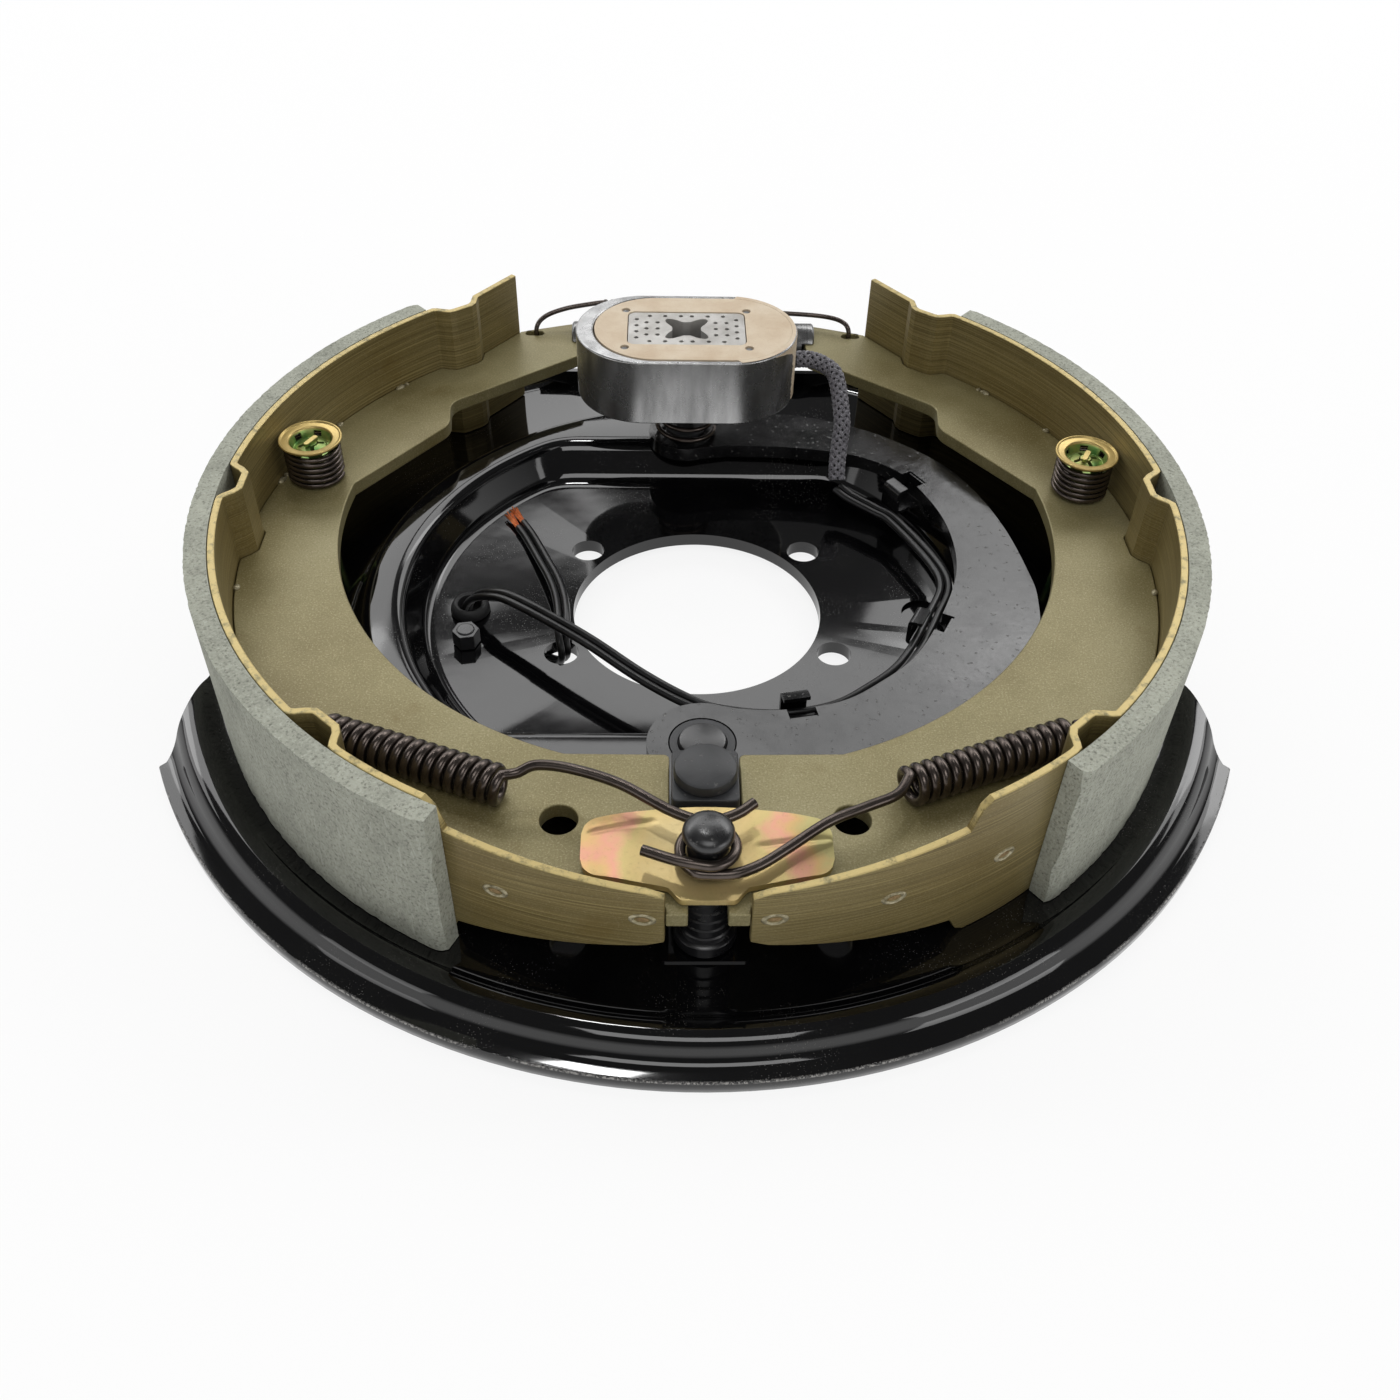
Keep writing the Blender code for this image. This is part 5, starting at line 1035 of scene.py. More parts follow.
PLATE_TOP = ((0.0405, 0.0075), (0.0879, 0.0075), (0.0946, 0.0190), (0.1060, 0.0190),
             (0.1134, 0.0055), (0.1541, 0.0055), (0.1577, 0.0100), (0.1636, 0.0100),
             (0.1668, 0.0045), (RIM_RADIUS - 0.0003, 0.0045))
RIM_TIP = 0.1570              # half width of the plate where the rim ends
FLANK = ((0.1550, -0.062), (0.1505, -0.024))
FLANK_ROUND = 0.006
FAR_EDGE = 0.1459
LIP_HALF = 0.0615
HOLD_PLACES = {1: polar(14.0, 0.1315), -1: polar(163.7, 0.1315)}
POST_SEAT = 0.0073
POST_RINGS_TOP = 0.0330
GUIDE_FAR_Y = ANCHOR_Y + 0.0162


def least(first, second, soft):
    """The smaller of two values, with a soft change between them."""
    near = max(soft - abs(first - second), 0.0) / soft
    return min(first, second) - near * near * soft / 4


def plate_section():
    """Cross-section of the pressing with rounded bends."""
    bottom = beside_line(PLATE_TOP, PLATE_THICK)
    bottom[0] = Vector((PLATE_TOP[0][0], DISC_LOW))
    upper = soft_corners(PLATE_TOP, 0.0030, 5)
    lower = soft_corners(bottom, 0.0012, 2)
    return upper + [(RIM_RADIUS, 0.0041), (RIM_RADIUS, 0.0004)] + lower[::-1]


def straighten_walls(shape):
    """The dish wall is straight below the magnet and below the lever's pivot."""
    for vert in shape.verts:
        rise = math.hypot(vert.co.x, vert.co.y) - DISC_RADIUS
        if -0.0068 < rise < 0.0130:
            vert.co.y = least(vert.co.y, 0.0715 + rise * 1.3, 0.004)
            vert.co.y = -least(-vert.co.y, 0.0616 + rise * 0.89, 0.004)


def plate_outline():
    """Outer edge: full rim at the post, straight flanks, smaller far side cut off straight."""
    middle = (0.0, 0.0)
    start = -math.degrees(math.acos(RIM_TIP / RIM_RADIUS))
    near = arc(middle, RIM_RADIUS + 0.0045, -180 - start, start, 60)
    side = arc(middle, 0.1460, -6.0, 20.0, 22)
    bend = arc(middle, 0.1579, 29.0, 67.4, 34)
    far = side + soft_corners([side[-1], bend[0], bend[1]], FLANK_ROUND, 5)[1:-1] + bend[1:]
    far += [(-x, y) for x, y in reversed(far)]
    right = [(RIM_TIP, near[-1][1]), *FLANK, far[0]]
    left = [far[-1], *[(-x, y) for x, y in right[2::-1]]]
    right, left = [soft_corners(line, FLANK_ROUND, 6)[1:-1] for line in (right, left)]
    outline = near + right + far + left
    return [(x, min(y, FAR_EDGE)) for x, y in outline]


def hole_cutters():
    """Everything cut through the plate."""
    low, high = -0.01, 0.03
    holes = [(polar(angle, BOLT_CIRCLE), 0.0055, low) for angle in BOLT_ANGLES]
    holes += [(GROMMET, 0.0051, low), ((-GROMMET[0], GROMMET[1]), 0.0066, DISC_TOP - 0.0014),
              ((-SMALL_STUD[0], SMALL_STUD[1]), 0.0039, low), (SMALL_STUD, 0.0027, low)]
    holes += [(HOLD_PLACES[side], 0.0021, low) for side in (1, -1)]
    holes += [((0.0, ANCHOR_Y), 0.0065, low), ((0.0, PIVOT_Y), 0.0039, low)]
    cutters = [rod(radius, start, high, place, 40) for place, radius, start in holes]
    slot = rounded_box((0.0100, ADJUSTER_Y), 0.026, 0.010, 0.005)
    return joined(cutters + [slab(slot, low, high)])


def build_plate():
    """The pressed backing plate, with the seat of the post and the lip of the far edge."""
    shape = turned(plate_section(), steps=200)
    straighten_walls(shape)
    shape = combined(shape, slab(plate_outline(), -0.006, 0.04), "INTERSECT")
    near_y = ANCHOR_Y - 0.0082
    far_y = near_y + 0.021
    pad = [(-0.012, near_y), (0.012, near_y), (0.010, far_y), (-0.010, far_y)]
    shape = fused(shape, slab(soft_corners(pad, 0.002, 4, True), 0.0035, 0.0062))
    lip = [(-LIP_HALF, 0.1436), (LIP_HALF, 0.1436), (LIP_HALF, FAR_EDGE), (-LIP_HALF, FAR_EDGE)]
    shape = fused(shape, slab(lip, 0.0036, 0.0112))
    shown("plate_pressing", cut(shape, hole_cutters()), ENAMEL, "plate", "backing_plate",
          angle=40.0)


def build_post():
    """Anchor post: base, bearing rings, neck and round head."""
    profile = [(0.0, GAP), (0.0090, GAP), (0.0090, 0.0006), (0.0062, 0.0007)]
    profile += raised(((0.0062, 0.0), (0.0079, 0.0), (0.0082, 0.0003), (0.0082, 0.0036),
                       (0.0078, 0.0040)), POST_SEAT)
    height = POST_SEAT + 0.0040
    while height < POST_RINGS_TOP:
        profile += raised(((0.0070, 0.0002), (0.0070, 0.0020), (0.0066, 0.0024),
                           (0.0066, 0.0030), (0.0070, 0.0034)), height)
        height += 0.0034
    profile += [(0.0070, 0.0339), (POST_NECK, 0.0339)]
    profile += raised(((POST_NECK, 0.0), (0.0061, 0.0003), (0.0064, 0.0009), (0.0064, 0.0018),
                       (0.0061, 0.0025), (0.0055, 0.0031), (0.0044, 0.0037), (0.0028, 0.0041),
                       (0.0, 0.0042)), POST_NECK_TOP)
    shown("anchor_stud", turned(profile, (0.0, ANCHOR_Y), 56), POST_IRON, "plate", "anchor_post")


def crease(x, y, start, end, depth):
    """Depth of a soft pressed line between two places."""
    along = Vector((end[0] - start[0], end[1] - start[1]))
    spot = Vector((x - start[0], y - start[1]))
    share = spot.dot(along) / along.length_squared
    off = abs(spot.x * along.y - spot.y * along.x) / along.length
    fade = max(0.0, 1.0 - (2 * share - 1) ** 6) if 0.0 < share < 1.0 else 0.0
    return depth * fade * math.exp(-(off / 0.0008) ** 2)


def guide_height(x, y):
    """Height of the guide plate's underside: lips up at the far side, dips at the nose."""
    fall = max(0.0, min(1.0, (GUIDE_FAR_Y - y) / 0.0277))
    height = GUIDE_LOW + GUIDE_RISE * (1.0 - fall ** 1.6)
    height -= crease(x, y, (-0.0300, -0.1222), (-0.0120, -0.1180), 0.00045)
    height -= crease(x, y, (0.0120, -0.1262), (0.0312, -0.1236), 0.00045)
    return height + 0.0003 * math.exp(-((abs(x) - 0.0220) / 0.0060) ** 2)


def build_guide_plate():
    """Thin zinc plated guide over the web ends."""
    corner_size = 0.004
    shape = bmesh.new()
    bmesh.ops.create_grid(shape, x_segments=90, y_segments=46, size=1.0)
    for vert in shape.verts:
        x = vert.co.x * GUIDE_HALF
        past = max(0.0, abs(x) - (GUIDE_HALF - corner_size))
        corner = corner_size - math.sqrt(max(0.0, corner_size ** 2 - past ** 2))
        tip = max(0.0, min(1.0, (0.0102 - abs(x)) / 0.0040))
        far = GUIDE_FAR_Y - 0.0045 * abs(vert.co.x) ** 1.8 - corner
        near = ANCHOR_Y - 0.0080 + 0.0042 * max(0.0, abs(vert.co.x) - 0.30) / 0.70
        near += corner - 0.0036 * tip * tip * (3.0 - 2.0 * tip)
        y = near + (far - near) * (vert.co.y + 1) / 2
        vert.co = (x, y, guide_height(x, y))
    bmesh.ops.solidify(shape, geom=shape.faces, thickness=-GUIDE_THICK)
    bmesh.ops.recalc_face_normals(shape, faces=shape.faces)
    shape = drill(shape, [(0.0, ANCHOR_Y)], 0.0055, 0.030, 0.040, 40)
    shown("guide_plate", shape, ZINC, "plate", "anchor_plate", edge=0.0003, angle=45.0)


def build_fittings():
    """Grommet and small hexagonal stud."""
    profile = [(0.0036, DISC_LOW), (0.0048, DISC_LOW)]
    profile += raised(((0.0048, 0.0003), (0.0062, 0.0003), (0.0064, 0.0008), (0.0062, 0.0022),
                       (0.0056, 0.0034), (0.0049, 0.0038), (0.0040, 0.0034), (0.0036, 0.0024)),
                      DISC_TOP)
    shown("plate_grommet", turned(profile, GROMMET, 48), GROMMET_RUBBER, "plate", "wire_grommet")
    top = DISC_TOP + 0.0056
    head = slab(arc(SMALL_STUD, 0.0044, 10, 310, 5), DISC_TOP + GAP, top)
    neck = rod(0.0024, 0.0020, DISC_TOP + GAP, SMALL_STUD, 24)
    tip = turned(((0.0, top), (0.0030, top), (0.0026, DISC_TOP + 0.0060),
                  (0.0, DISC_TOP + 0.0060)), SMALL_STUD, 24)
    shown("small_hexagon_stud", joined([head, neck, tip]), POST_IRON, "plate", "hex_stud",
          edge=0.0004)


build_plate()
build_post()
build_guide_plate()
build_fittings()


# Shoes ----------------------------------------------------------------------------------

DENT_ANGLES = (43.2, 90.5, 142.5)
DENT_HALF = 3.6               # degrees
DENT_DEPTH = 0.0050
TABLE_START_X = 0.0105
TABLE_TIP = (0.0685, 0.1360)
LINED_FROM = 27.2             # degrees from the anchor where a table has its full width
LINING_END = 138.0
WEB_KNEE = polar(38.7, TABLE_RADIUS - 0.0342)
WEB_STEP = polar(43.5, TABLE_RADIUS - 0.0239)
WEB_ARC = 0.1145              # radius of the web's inner edge
WEB_ARC_Y = 0.0176
WEB_TOE = (0.0420, 0.1185)
ANCHOR_NOTCH = 0.0073         # radius of the webs' bearing on the post
TOOL_HOLE = polar(-71.8, TABLE_RADIUS - 0.0245)
SPRING_HOLE = polar(-40.0, TABLE_RADIUS - 0.0088)
BEAD_ANGLES = (33.0, 34.1, 62.5, 63.4, 81.0, 104.0, 105.2, 118.6, 131.0, 132.2)


def outward(side, angle):
    """Direction outwards in plan, at an angle from the anchor."""
    turn = math.radians(angle)
    return side * math.sin(turn), -math.cos(turn)


def dent_depth(angle):
    """How far the table is pressed inwards at an angle from the anchor."""
    for centre in DENT_ANGLES:
        share = abs(angle - centre) / DENT_HALF
        if share < 1.0:
            rise = min(1.0, 1.6 * (1 - share))
            return DENT_DEPTH * min(1.0, 0.5 - 0.5 * math.cos(rise * math.pi))
    return 0.0


def table_line(side):
    """Outer line of a table in plan, from the anchor end, with angles."""
    angles = [math.degrees(math.asin(TABLE_START_X / TABLE_RADIUS))]
    angle = 5.0
    while angle < 146.0:
        angles.append(angle)
        angle += 0.6 if any(abs(angle - centre) < 4.0 for centre in DENT_ANGLES) else 1.0
    points = []
    for angle in angles:
        radius = TABLE_RADIUS - dent_depth(angle)
        x, y = outward(side, angle)
        points.append((angle, radius * x, radius * y))
    points.append((150.0, side * TABLE_TIP[0], TABLE_TIP[1]))
    return points


def table_heights(angle):
    """Lower and upper edge of the table at an angle."""
    low, top = SHOE_LOW, SHOE_TOP
    if angle <= LINED_FROM:
        share = max(0.0, (26.5 - angle) / 22.3)
        blend = min(1.0, max(0.0, (LINED_FROM - angle) / 0.8))
        low += (0.0062 + 0.0095 * share) * blend
        top -= (0.0090 + 0.0070 * share) * blend
    if angle < 6.0:
        low += 0.0006 * (6.0 - angle)
        top -= 0.0006 * (6.0 - angle)
    return low, top


def build_table(label, side):
    """Curved rim of a shoe."""
    outer = table_line(side)
    inner = beside_line([(x, y) for _, x, y in outer], -side * TABLE_THICK)
    sections = []
    for (angle, x, y), (inner_x, inner_y) in zip(outer, inner):
        low, top = table_heights(angle)
        sections.append(((x, y, low), (x, y, top), (inner_x, inner_y, top),
                         (inner_x, inner_y, low)))
    shown(f"{label}_shoe_rim", swept(sections), TABLE_COAT, f"{label}_shoe", f"{label}_table",
          edge=0.0004)


def web_outline(side):
    """Plan of a web."""
    notch_end = 0.00485
    low_angle = -math.degrees(math.acos(notch_end / ANCHOR_NOTCH))
    points = [(0.01025, -0.1440), (notch_end, -0.1440)]
    points += arc((0.0, ANCHOR_Y), ANCHOR_NOTCH, low_angle, 32.0, 14)
    points += soft_corners([(0.0065, -0.1245), (0.0093, -0.1225), (0.0093, -0.0912),
                            (0.0130, -0.0905)], 0.0015, 3)[1:-1]
    start, end = [math.degrees(math.asin((y - WEB_ARC_Y) / WEB_ARC)) for y in (-0.0912, 0.0325)]
    points += arc((0.0, WEB_ARC_Y), WEB_ARC, start, end, 90)[1:]
    points += soft_corners([points[-1], WEB_KNEE, WEB_STEP, (0.0450, 0.1155), WEB_TOE],
                           0.004, 6)[1:-1]
    table = [(x, y) for _, x, y in table_line(side)]
    outer = [(abs(x), y) for x, y in beside_line(table, -side * (TABLE_THICK + GAP))]
    toe = outer[-1][1] + 0.0080
    points += soft_corners([WEB_TOE, (WEB_TOE[0], toe), (0.0520, toe - 0.003), outer[-1]],
                           0.002, 4)[1:-1]
    return [(side * x, y) for x, y in points + outer[::-1]]


def build_web(label, side):
    """Flat steel web of a shoe with its holes."""
    ends = (WEB_LOW - 0.01, WEB_TOP + 0.01)
    shape = slab(web_outline(side), WEB_LOW, WEB_TOP)
    for (x, y), radius, steps in ((TOOL_HOLE, 0.0049, 40), (SPRING_HOLE, 0.0027, 32)):
        shape = drill(shape, [(side * x, y)], radius, *ends, steps)
    shape = drill(shape, [HOLD_PLACES[side]], 0.0045, *ends)
    slot = rounded_box((side * HEEL_SLOT[0], HEEL_SLOT[1]), 0.0070, 0.0032, 0.0016)
    shown(f"{label}_shoe_web", cut(shape, slab(slot, *ends)), WEB_COAT, f"{label}_shoe",
          f"{label}_web", edge=0.0005)


def lining_section(side, angle, chip):
    """Section of a lining, with a rough upper and lower edge."""
    x, y = outward(side, angle)
    inner = TABLE_RADIUS + GAP / 2
    rows = []
    for index in range(9):
        height = SHOE_LOW + (SHOE_TOP - SHOE_LOW) * index / 8
        spot = Vector((angle * 1.7, height * 260, side * 4.0))
        wear = abs(noise.noise(spot)) * (0.0005 if index in (0, 8) else 0.0001)
        loss = chip * (0.4 + abs(noise.noise(spot * 1.9)) * 1.6)
        rows.append((LINING_RADIUS - wear - loss, height))
    ring = [(inner, SHOE_LOW)] + rows + [(inner, SHOE_TOP)]
    return [(radius * x, radius * y, height) for radius, height in ring]


def build_lining(label, side, ends):
    """Bonded lining; its ends are chamfered and chipped."""
    steps = round((ends[1] - ends[0]) * 2)
    sections = []
    for index in range(steps + 1):
        angle = ends[0] + (ends[1] - ends[0]) * index / steps
        chip = {0: 0.0014, 1: 0.0004}.get(min(index, steps - index), 0.0)
        sections.append(lining_section(side, angle, chip))
    shown(f"{label}_shoe_lining", swept(sections), LINING, f"{label}_shoe", f"{label}_lining",
          angle=50.0)


def weld_marks(side, angles, length, height, profile):
    """Oval turned shapes, laid on the outside of a table at the web's height."""
    size = Matrix.Diagonal((length / 2, height / 2, 1.0, 1.0))
    marks = []
    for angle in angles:
        shape = turned(profile, steps=32)
        out = Vector((*outward(side, angle), 0.0))
        spot = out * TABLE_RADIUS
        place = Matrix(((-out.y, 0.0, out.x, spot.x), (out.x, 0.0, out.y, spot.y),
                        (0.0, 1.0, 0.0, (WEB_LOW + WEB_TOP) / 2), (0.0, 0.0, 0.0, 1.0)))
        bmesh.ops.transform(shape, matrix=place @ size, verts=shape.verts)
        marks.append(shape)
    return joined(marks)


def build_weld_marks(label, side, angles):
    """Oval weld marks on the bare part of a table, with a rusty centre."""
    rim = [(0.52, -0.0003), (1.0, -0.0003), (0.97, 0.0001), (0.80, 0.00042), (0.62, 0.00025)]
    middle = [(0.0, -0.0003), (0.54, -0.0003), (0.50, 0.00005), (0.30, 0.00016), (0.0, 0.00018)]
    shown(f"{label}_weld_rims", weld_marks(side, angles, 0.0070, 0.0042, rim), WELD,
          f"{label}_shoe", angle=60.0)
    shown(f"{label}_weld_centres", weld_marks(side, angles, 0.0062, 0.0030, middle), RUST,
          f"{label}_shoe", angle=60.0)


def build_spatter(label, side):
    """Small weld beads where the web meets the table."""
    beads = []
    for index, angle in enumerate(BEAD_ANGLES):
        bead = bmesh.new()
        bmesh.ops.create_icosphere(bead, subdivisions=2, radius=1.0)
        for vert in bead.verts:
            vert.co *= 1.0 + 0.35 * noise.noise(vert.co * 1.7 + Vector((index * 3.0, 0.0, 0.0)))
        size = Matrix.Diagonal((0.0011, 0.0007 + 0.0007 * (index % 3), 0.0007, 1.0))
        reach = TABLE_RADIUS - TABLE_THICK - 0.0009
        x, y = outward(side, angle)
        place = Matrix.Translation((reach * x, reach * y, WEB_TOP + 0.0001))
        spin = Matrix.Rotation(math.atan2(y, x), 4, "Z")
        bmesh.ops.transform(bead, matrix=place @ spin @ size, verts=bead.verts)
        beads.append(bead)
    shown(f"{label}_weld_beads", joined(beads), WELD, f"{label}_shoe", angle=80.0)


for shoe, hand, lined_from in (("primary", 1, 37.5), ("secondary", -1, 26.2)):
    build_table(shoe, hand)
    build_web(shoe, hand)
    build_lining(shoe, hand, (lined_from, LINING_END))
    build_spatter(shoe, hand)

build_weld_marks("primary", 1, (6.4, 18.4, 31.4))
build_weld_marks("secondary", -1, (6.3, 21.0))


# Springs, adjuster and hold-downs -------------------------------------------------------

COIL_TURNS = 16
COIL_LENGTH = 14 * 0.0036
THIN_WIRE = 0.0009            # radius of the wire of the adjuster and magnet springs
HOLD_WIRE = 0.0008            # radius of the wire of the hold-downs
HOLD_TURNS = 6
HOLD_PITCH = 0.00195
HOLD_RADIUS = 0.0085
STAR_X = 0.0080
STAR_HALF = 0.00225
STAR_TEETH = 16
ADJUSTER_END_X = 0.0465


def spring_coil_ends(side):
    """Ends of a return spring's coil."""
    height = WEB_TOP + GAP + COIL_WIRE / 2 + COIL_RADIUS
    end_x = SPRING_HOLE[0] - 0.0055
    end_y = SPRING_HOLE[1] - 0.0023
    back_x, back_y = polar(21.8, COIL_LENGTH)
    return (Vector((side * (end_x - back_x), end_y - back_y, height)),
            Vector((side * end_x, end_y, height)))


def hook_points(side, height, spots):
    """Points of a long hook between the post and the coil: share of the way, bow and rise."""
    start, _ = spring_coil_ends(side)
    post = Vector((0.0, ANCHOR_Y, 0.0))
    way = Vector((start.x, start.y, 0.0)) - post
    sideways = Vector((-side * way.y, side * way.x, 0.0)).normalized()
    points = []
    for share, bow, rise in spots:
        spot = post + way * share + sideways * bow
        points.append((spot.x, spot.y, height + rise))
    return points


def return_spring(side, hook):
    """Line of a return spring: hook at the post, coil, hook in the web."""
    start, end = spring_coil_ends(side)
    coil = coil_line(start, end, COIL_RADIUS, COIL_TURNS, 28, math.radians(90))
    hole = Vector((side * SPRING_HOLE[0], SPRING_HOLE[1], WEB_LOW))
    above = WEB_TOP + COIL_WIRE / 2 + 0.0012
    tail = [coil[-1], (end.x + side * 0.0030, end.y + 0.0010, end.z + COIL_RADIUS * 0.72),
            (hole.x - side * 0.0004, hole.y - 0.0004, above + 0.0030),
            (hole.x, hole.y, above - 0.0010), (hole.x, hole.y, hole.z - 0.0006)]
    tail_line = even_line(smooth_line(tail, 10), COIL_WIRE * 0.35)[1:]
    hook_line = even_line(smooth_line(hook + [coil[0]], 10), COIL_WIRE * 0.4)[:-1]
    return hook_line + coil + tail_line


def post_turn(radius, height, rise, start, end, steps):
    """Wire bent round the post."""
    spots = arc((0.0, ANCHOR_Y), radius, start, end, steps)
    return [(x, y, height + rise * index / steps) for index, (x, y) in enumerate(spots)]


def build_return_spring(name, side, hook, shoe):
    """A return spring, baked in place in the model's frame; it rides on no body."""
    spring = shown_spring(name, return_spring(side, hook), COIL_WIRE / 2, None,
                          f"return_spring_{shoe}", 14)
    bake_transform(spring)


def build_return_springs():
    """The left spring's open hook lies over the right spring's closed one."""
    grip = POST_NECK + COIL_WIRE / 2 + 0.0003
    upper = POST_NECK_TOP - COIL_WIRE / 2 - GAP
    lower = GUIDE_LOW + GUIDE_RISE + GUIDE_THICK + COIL_WIRE / 2 + GAP
    over = lower + COIL_WIRE + 0.0006
    hook = [(2.27 * grip * 0.75, ANCHOR_Y + 1.74 * grip, upper + GAP),
            (1.09 * grip, ANCHOR_Y + 1.26 * grip, upper)]
    hook += post_turn(grip, upper, 0.0, 68.0, 112.0, 5)
    hook += hook_points(-1, upper, ((0.235, 0.0055, 0.0), (0.484, 0.0078, 0.0010),
                                    (0.712, 0.0072, 0.0016), (0.871, 0.0052, 0.0012),
                                    (0.943, 0.0024, -0.0006)))
    build_return_spring("return_spring_left", -1, hook, "secondary")
    hook = [(-2.32 * grip, ANCHOR_Y - 0.29 * grip, over),
            (-1.16 * grip, ANCHOR_Y - 0.75 * grip, over)]
    hook += post_turn(grip, over, lower - over, -105.0, 255.0, 30)
    hook += hook_points(1, lower, ((0.053, -0.0084, 0.0), (0.176, -0.0087, 0.0003),
                                   (0.324, -0.0071, 0.0010), (0.547, -0.0045, 0.0024),
                                   (0.740, -0.0045, 0.0034), (0.899, -0.0039, 0.0036)))
    build_return_spring("return_spring_right", 1, hook, "primary")


def build_adjuster_spring():
    """Spring hooked between the heels of the webs."""
    y, z = ADJUSTER_Y + 0.0082, WEB_TOP + 0.0060
    coil = coil_line((-0.0340, y, z), (-0.0050, y, z), 0.0031, 11, 20, math.radians(90))
    slot_x, slot_y = HEEL_SLOT
    above = WEB_TOP + 0.0022
    below = WEB_LOW - 0.0006
    left = [(-slot_x + 0.0012, slot_y, below), (-slot_x + 0.0008, slot_y, above),
            (-slot_x + 0.0040, slot_y + 0.0042, above + 0.0026),
            (-slot_x + 0.0120, y - 0.0008, z + 0.0008), (-0.0380, y, z + 0.0026), coil[0]]
    right = [coil[-1], (-0.0010, y, z + 0.0026), (0.0080, y + 0.0006, z + 0.0008),
             (slot_x / 2, y, z - 0.0004), (slot_x - 0.0120, y - 0.0008, z - 0.0012),
             (slot_x - 0.0036, slot_y + 0.0036, above + 0.0022), (slot_x - 0.0008, slot_y, above),
             (slot_x - 0.0012, slot_y, below)]
    left_line, right_line = [even_line(smooth_line(hook, 10), 0.0007) for hook in (left, right)]
    shown_spring("heel_spring", left_line[:-1] + coil + right_line[1:], THIN_WIRE,
                 "secondary_shoe", "adjuster_spring")


def along_x(shape):
    """Lay an upright turned shape along the adjuster: its height becomes its place in X."""
    place = Matrix.Translation((0.0, ADJUSTER_Y, (WEB_LOW + WEB_TOP) / 2))
    bmesh.ops.transform(shape, matrix=place @ Matrix.Rotation(math.radians(90), 4, "Y"),
                        verts=shape.verts)
    return shape


def build_adjuster_end(name, bore, mouth, side, node):
    """Turned tube that is forked over the toe of a web."""
    profile = [(0.0, ADJUSTER_END_X), (0.0060, ADJUSTER_END_X), (0.0066, 0.0462),
               (0.0070, 0.0456), (0.0070, 0.0360), (0.0066, 0.0355), (0.0066, 0.0345),
               (0.0070, 0.0340), (0.0070, mouth + 0.0012), (0.0067, mouth + 0.0004),
               (0.0062, mouth), (bore + 0.0004, mouth), (bore, mouth + 0.0004),
               (bore, 0.0342), (0.0, 0.0342)]
    shape = along_x(turned([(radius, side * reach) for radius, reach in profile], steps=64))
    fork = rounded_box((side * ADJUSTER_END_X, ADJUSTER_Y), 0.0096, 0.0200, 0.0004, 3)
    shown(name, cut(shape, slab(fork, WEB_LOW - GAP, WEB_TOP + GAP)), ADJUSTER_STEEL,
          "secondary_shoe", node, edge=0.0002)


def build_adjuster():
    """Socket, end cap, and the star wheel with its screw between them."""
    low, high = STAR_X - STAR_HALF, STAR_X + STAR_HALF
    build_adjuster_end("adjuster_tube", 0.0050, GAP + STAR_HALF - STAR_X, -1, "adjuster_socket")
    build_adjuster_end("adjuster_end_cap", 0.0043, high + GAP, 1, "adjuster_cap")
    teeth = [polar(360 / STAR_TEETH * (index + part), reach) for index in range(STAR_TEETH)
             for part, reach in ((-0.34, 0.0086), (-0.20, 0.0101), (0.20, 0.0101), (0.34, 0.0086))]
    hub = ((0.0, low - 0.0001), (0.0062, low - 0.0001), (0.0066, low + 0.0004),
           (0.0066, high - 0.0004), (0.0062, high + 0.0001), (0.0, high + 0.0001))
    thread = [(0.0, -0.0340), (0.0040, -0.0340)]
    for index in range(40):
        root = -0.0335 + index * 0.00095
        thread += [(0.0042, root), (0.0047, root + 0.00047)]
    thread += [(0.0042, STAR_X - 0.0010), (0.0040, STAR_X), (0.0040, 0.0335), (0.0036, 0.0340),
               (0.0, 0.0340)]
    wheel = fused(slab(teeth, low, high), turned(hub, steps=48))
    shown("star_wheel_and_screw", along_x(fused(wheel, turned(thread, steps=40))),
          ADJUSTER_STEEL, "star_wheel", "star_wheel_screw", edge=0.0002)


def hold_down_cup(centre, seat):
    """Bowl that hangs in the coil by its lip, with a domed floor and openings in its wall."""
    profile = raised(((0.0021, -0.0022), (0.0044, -0.0026), (0.0056, -0.0036), (0.0064, -0.0036),
                      (0.0074, -0.0002), (0.0098, 0.0), (0.0102, 0.0005), (0.0102, 0.0011),
                      (0.0096, 0.0011), (0.0094, 0.0007), (0.0070, 0.0005), (0.0060, -0.0028),
                      (0.0057, -0.0028), (0.0046, -0.0019), (0.0021, -0.0014)), seat)
    cup = turned(soft_corners(profile, 0.0005, 3), centre, 96)
    window = (0.0068, 0.0), 0.0036, 0.0026, 0.0004, 3
    cross = (0.0, 0.0), 0.0084, 0.0013, 0.0006, 3
    cutters = [placed(slab(rounded_box(*window), seat - 0.0026, seat - 0.0006), centre,
                      60 * index + 22) for index in range(6)]
    cutters += [placed(slab(rounded_box(*cross), seat - 0.0034, seat - 0.0004), centre, heading)
                for heading in (17.0, 107.0)]
    return cut(cup, joined(cutters))


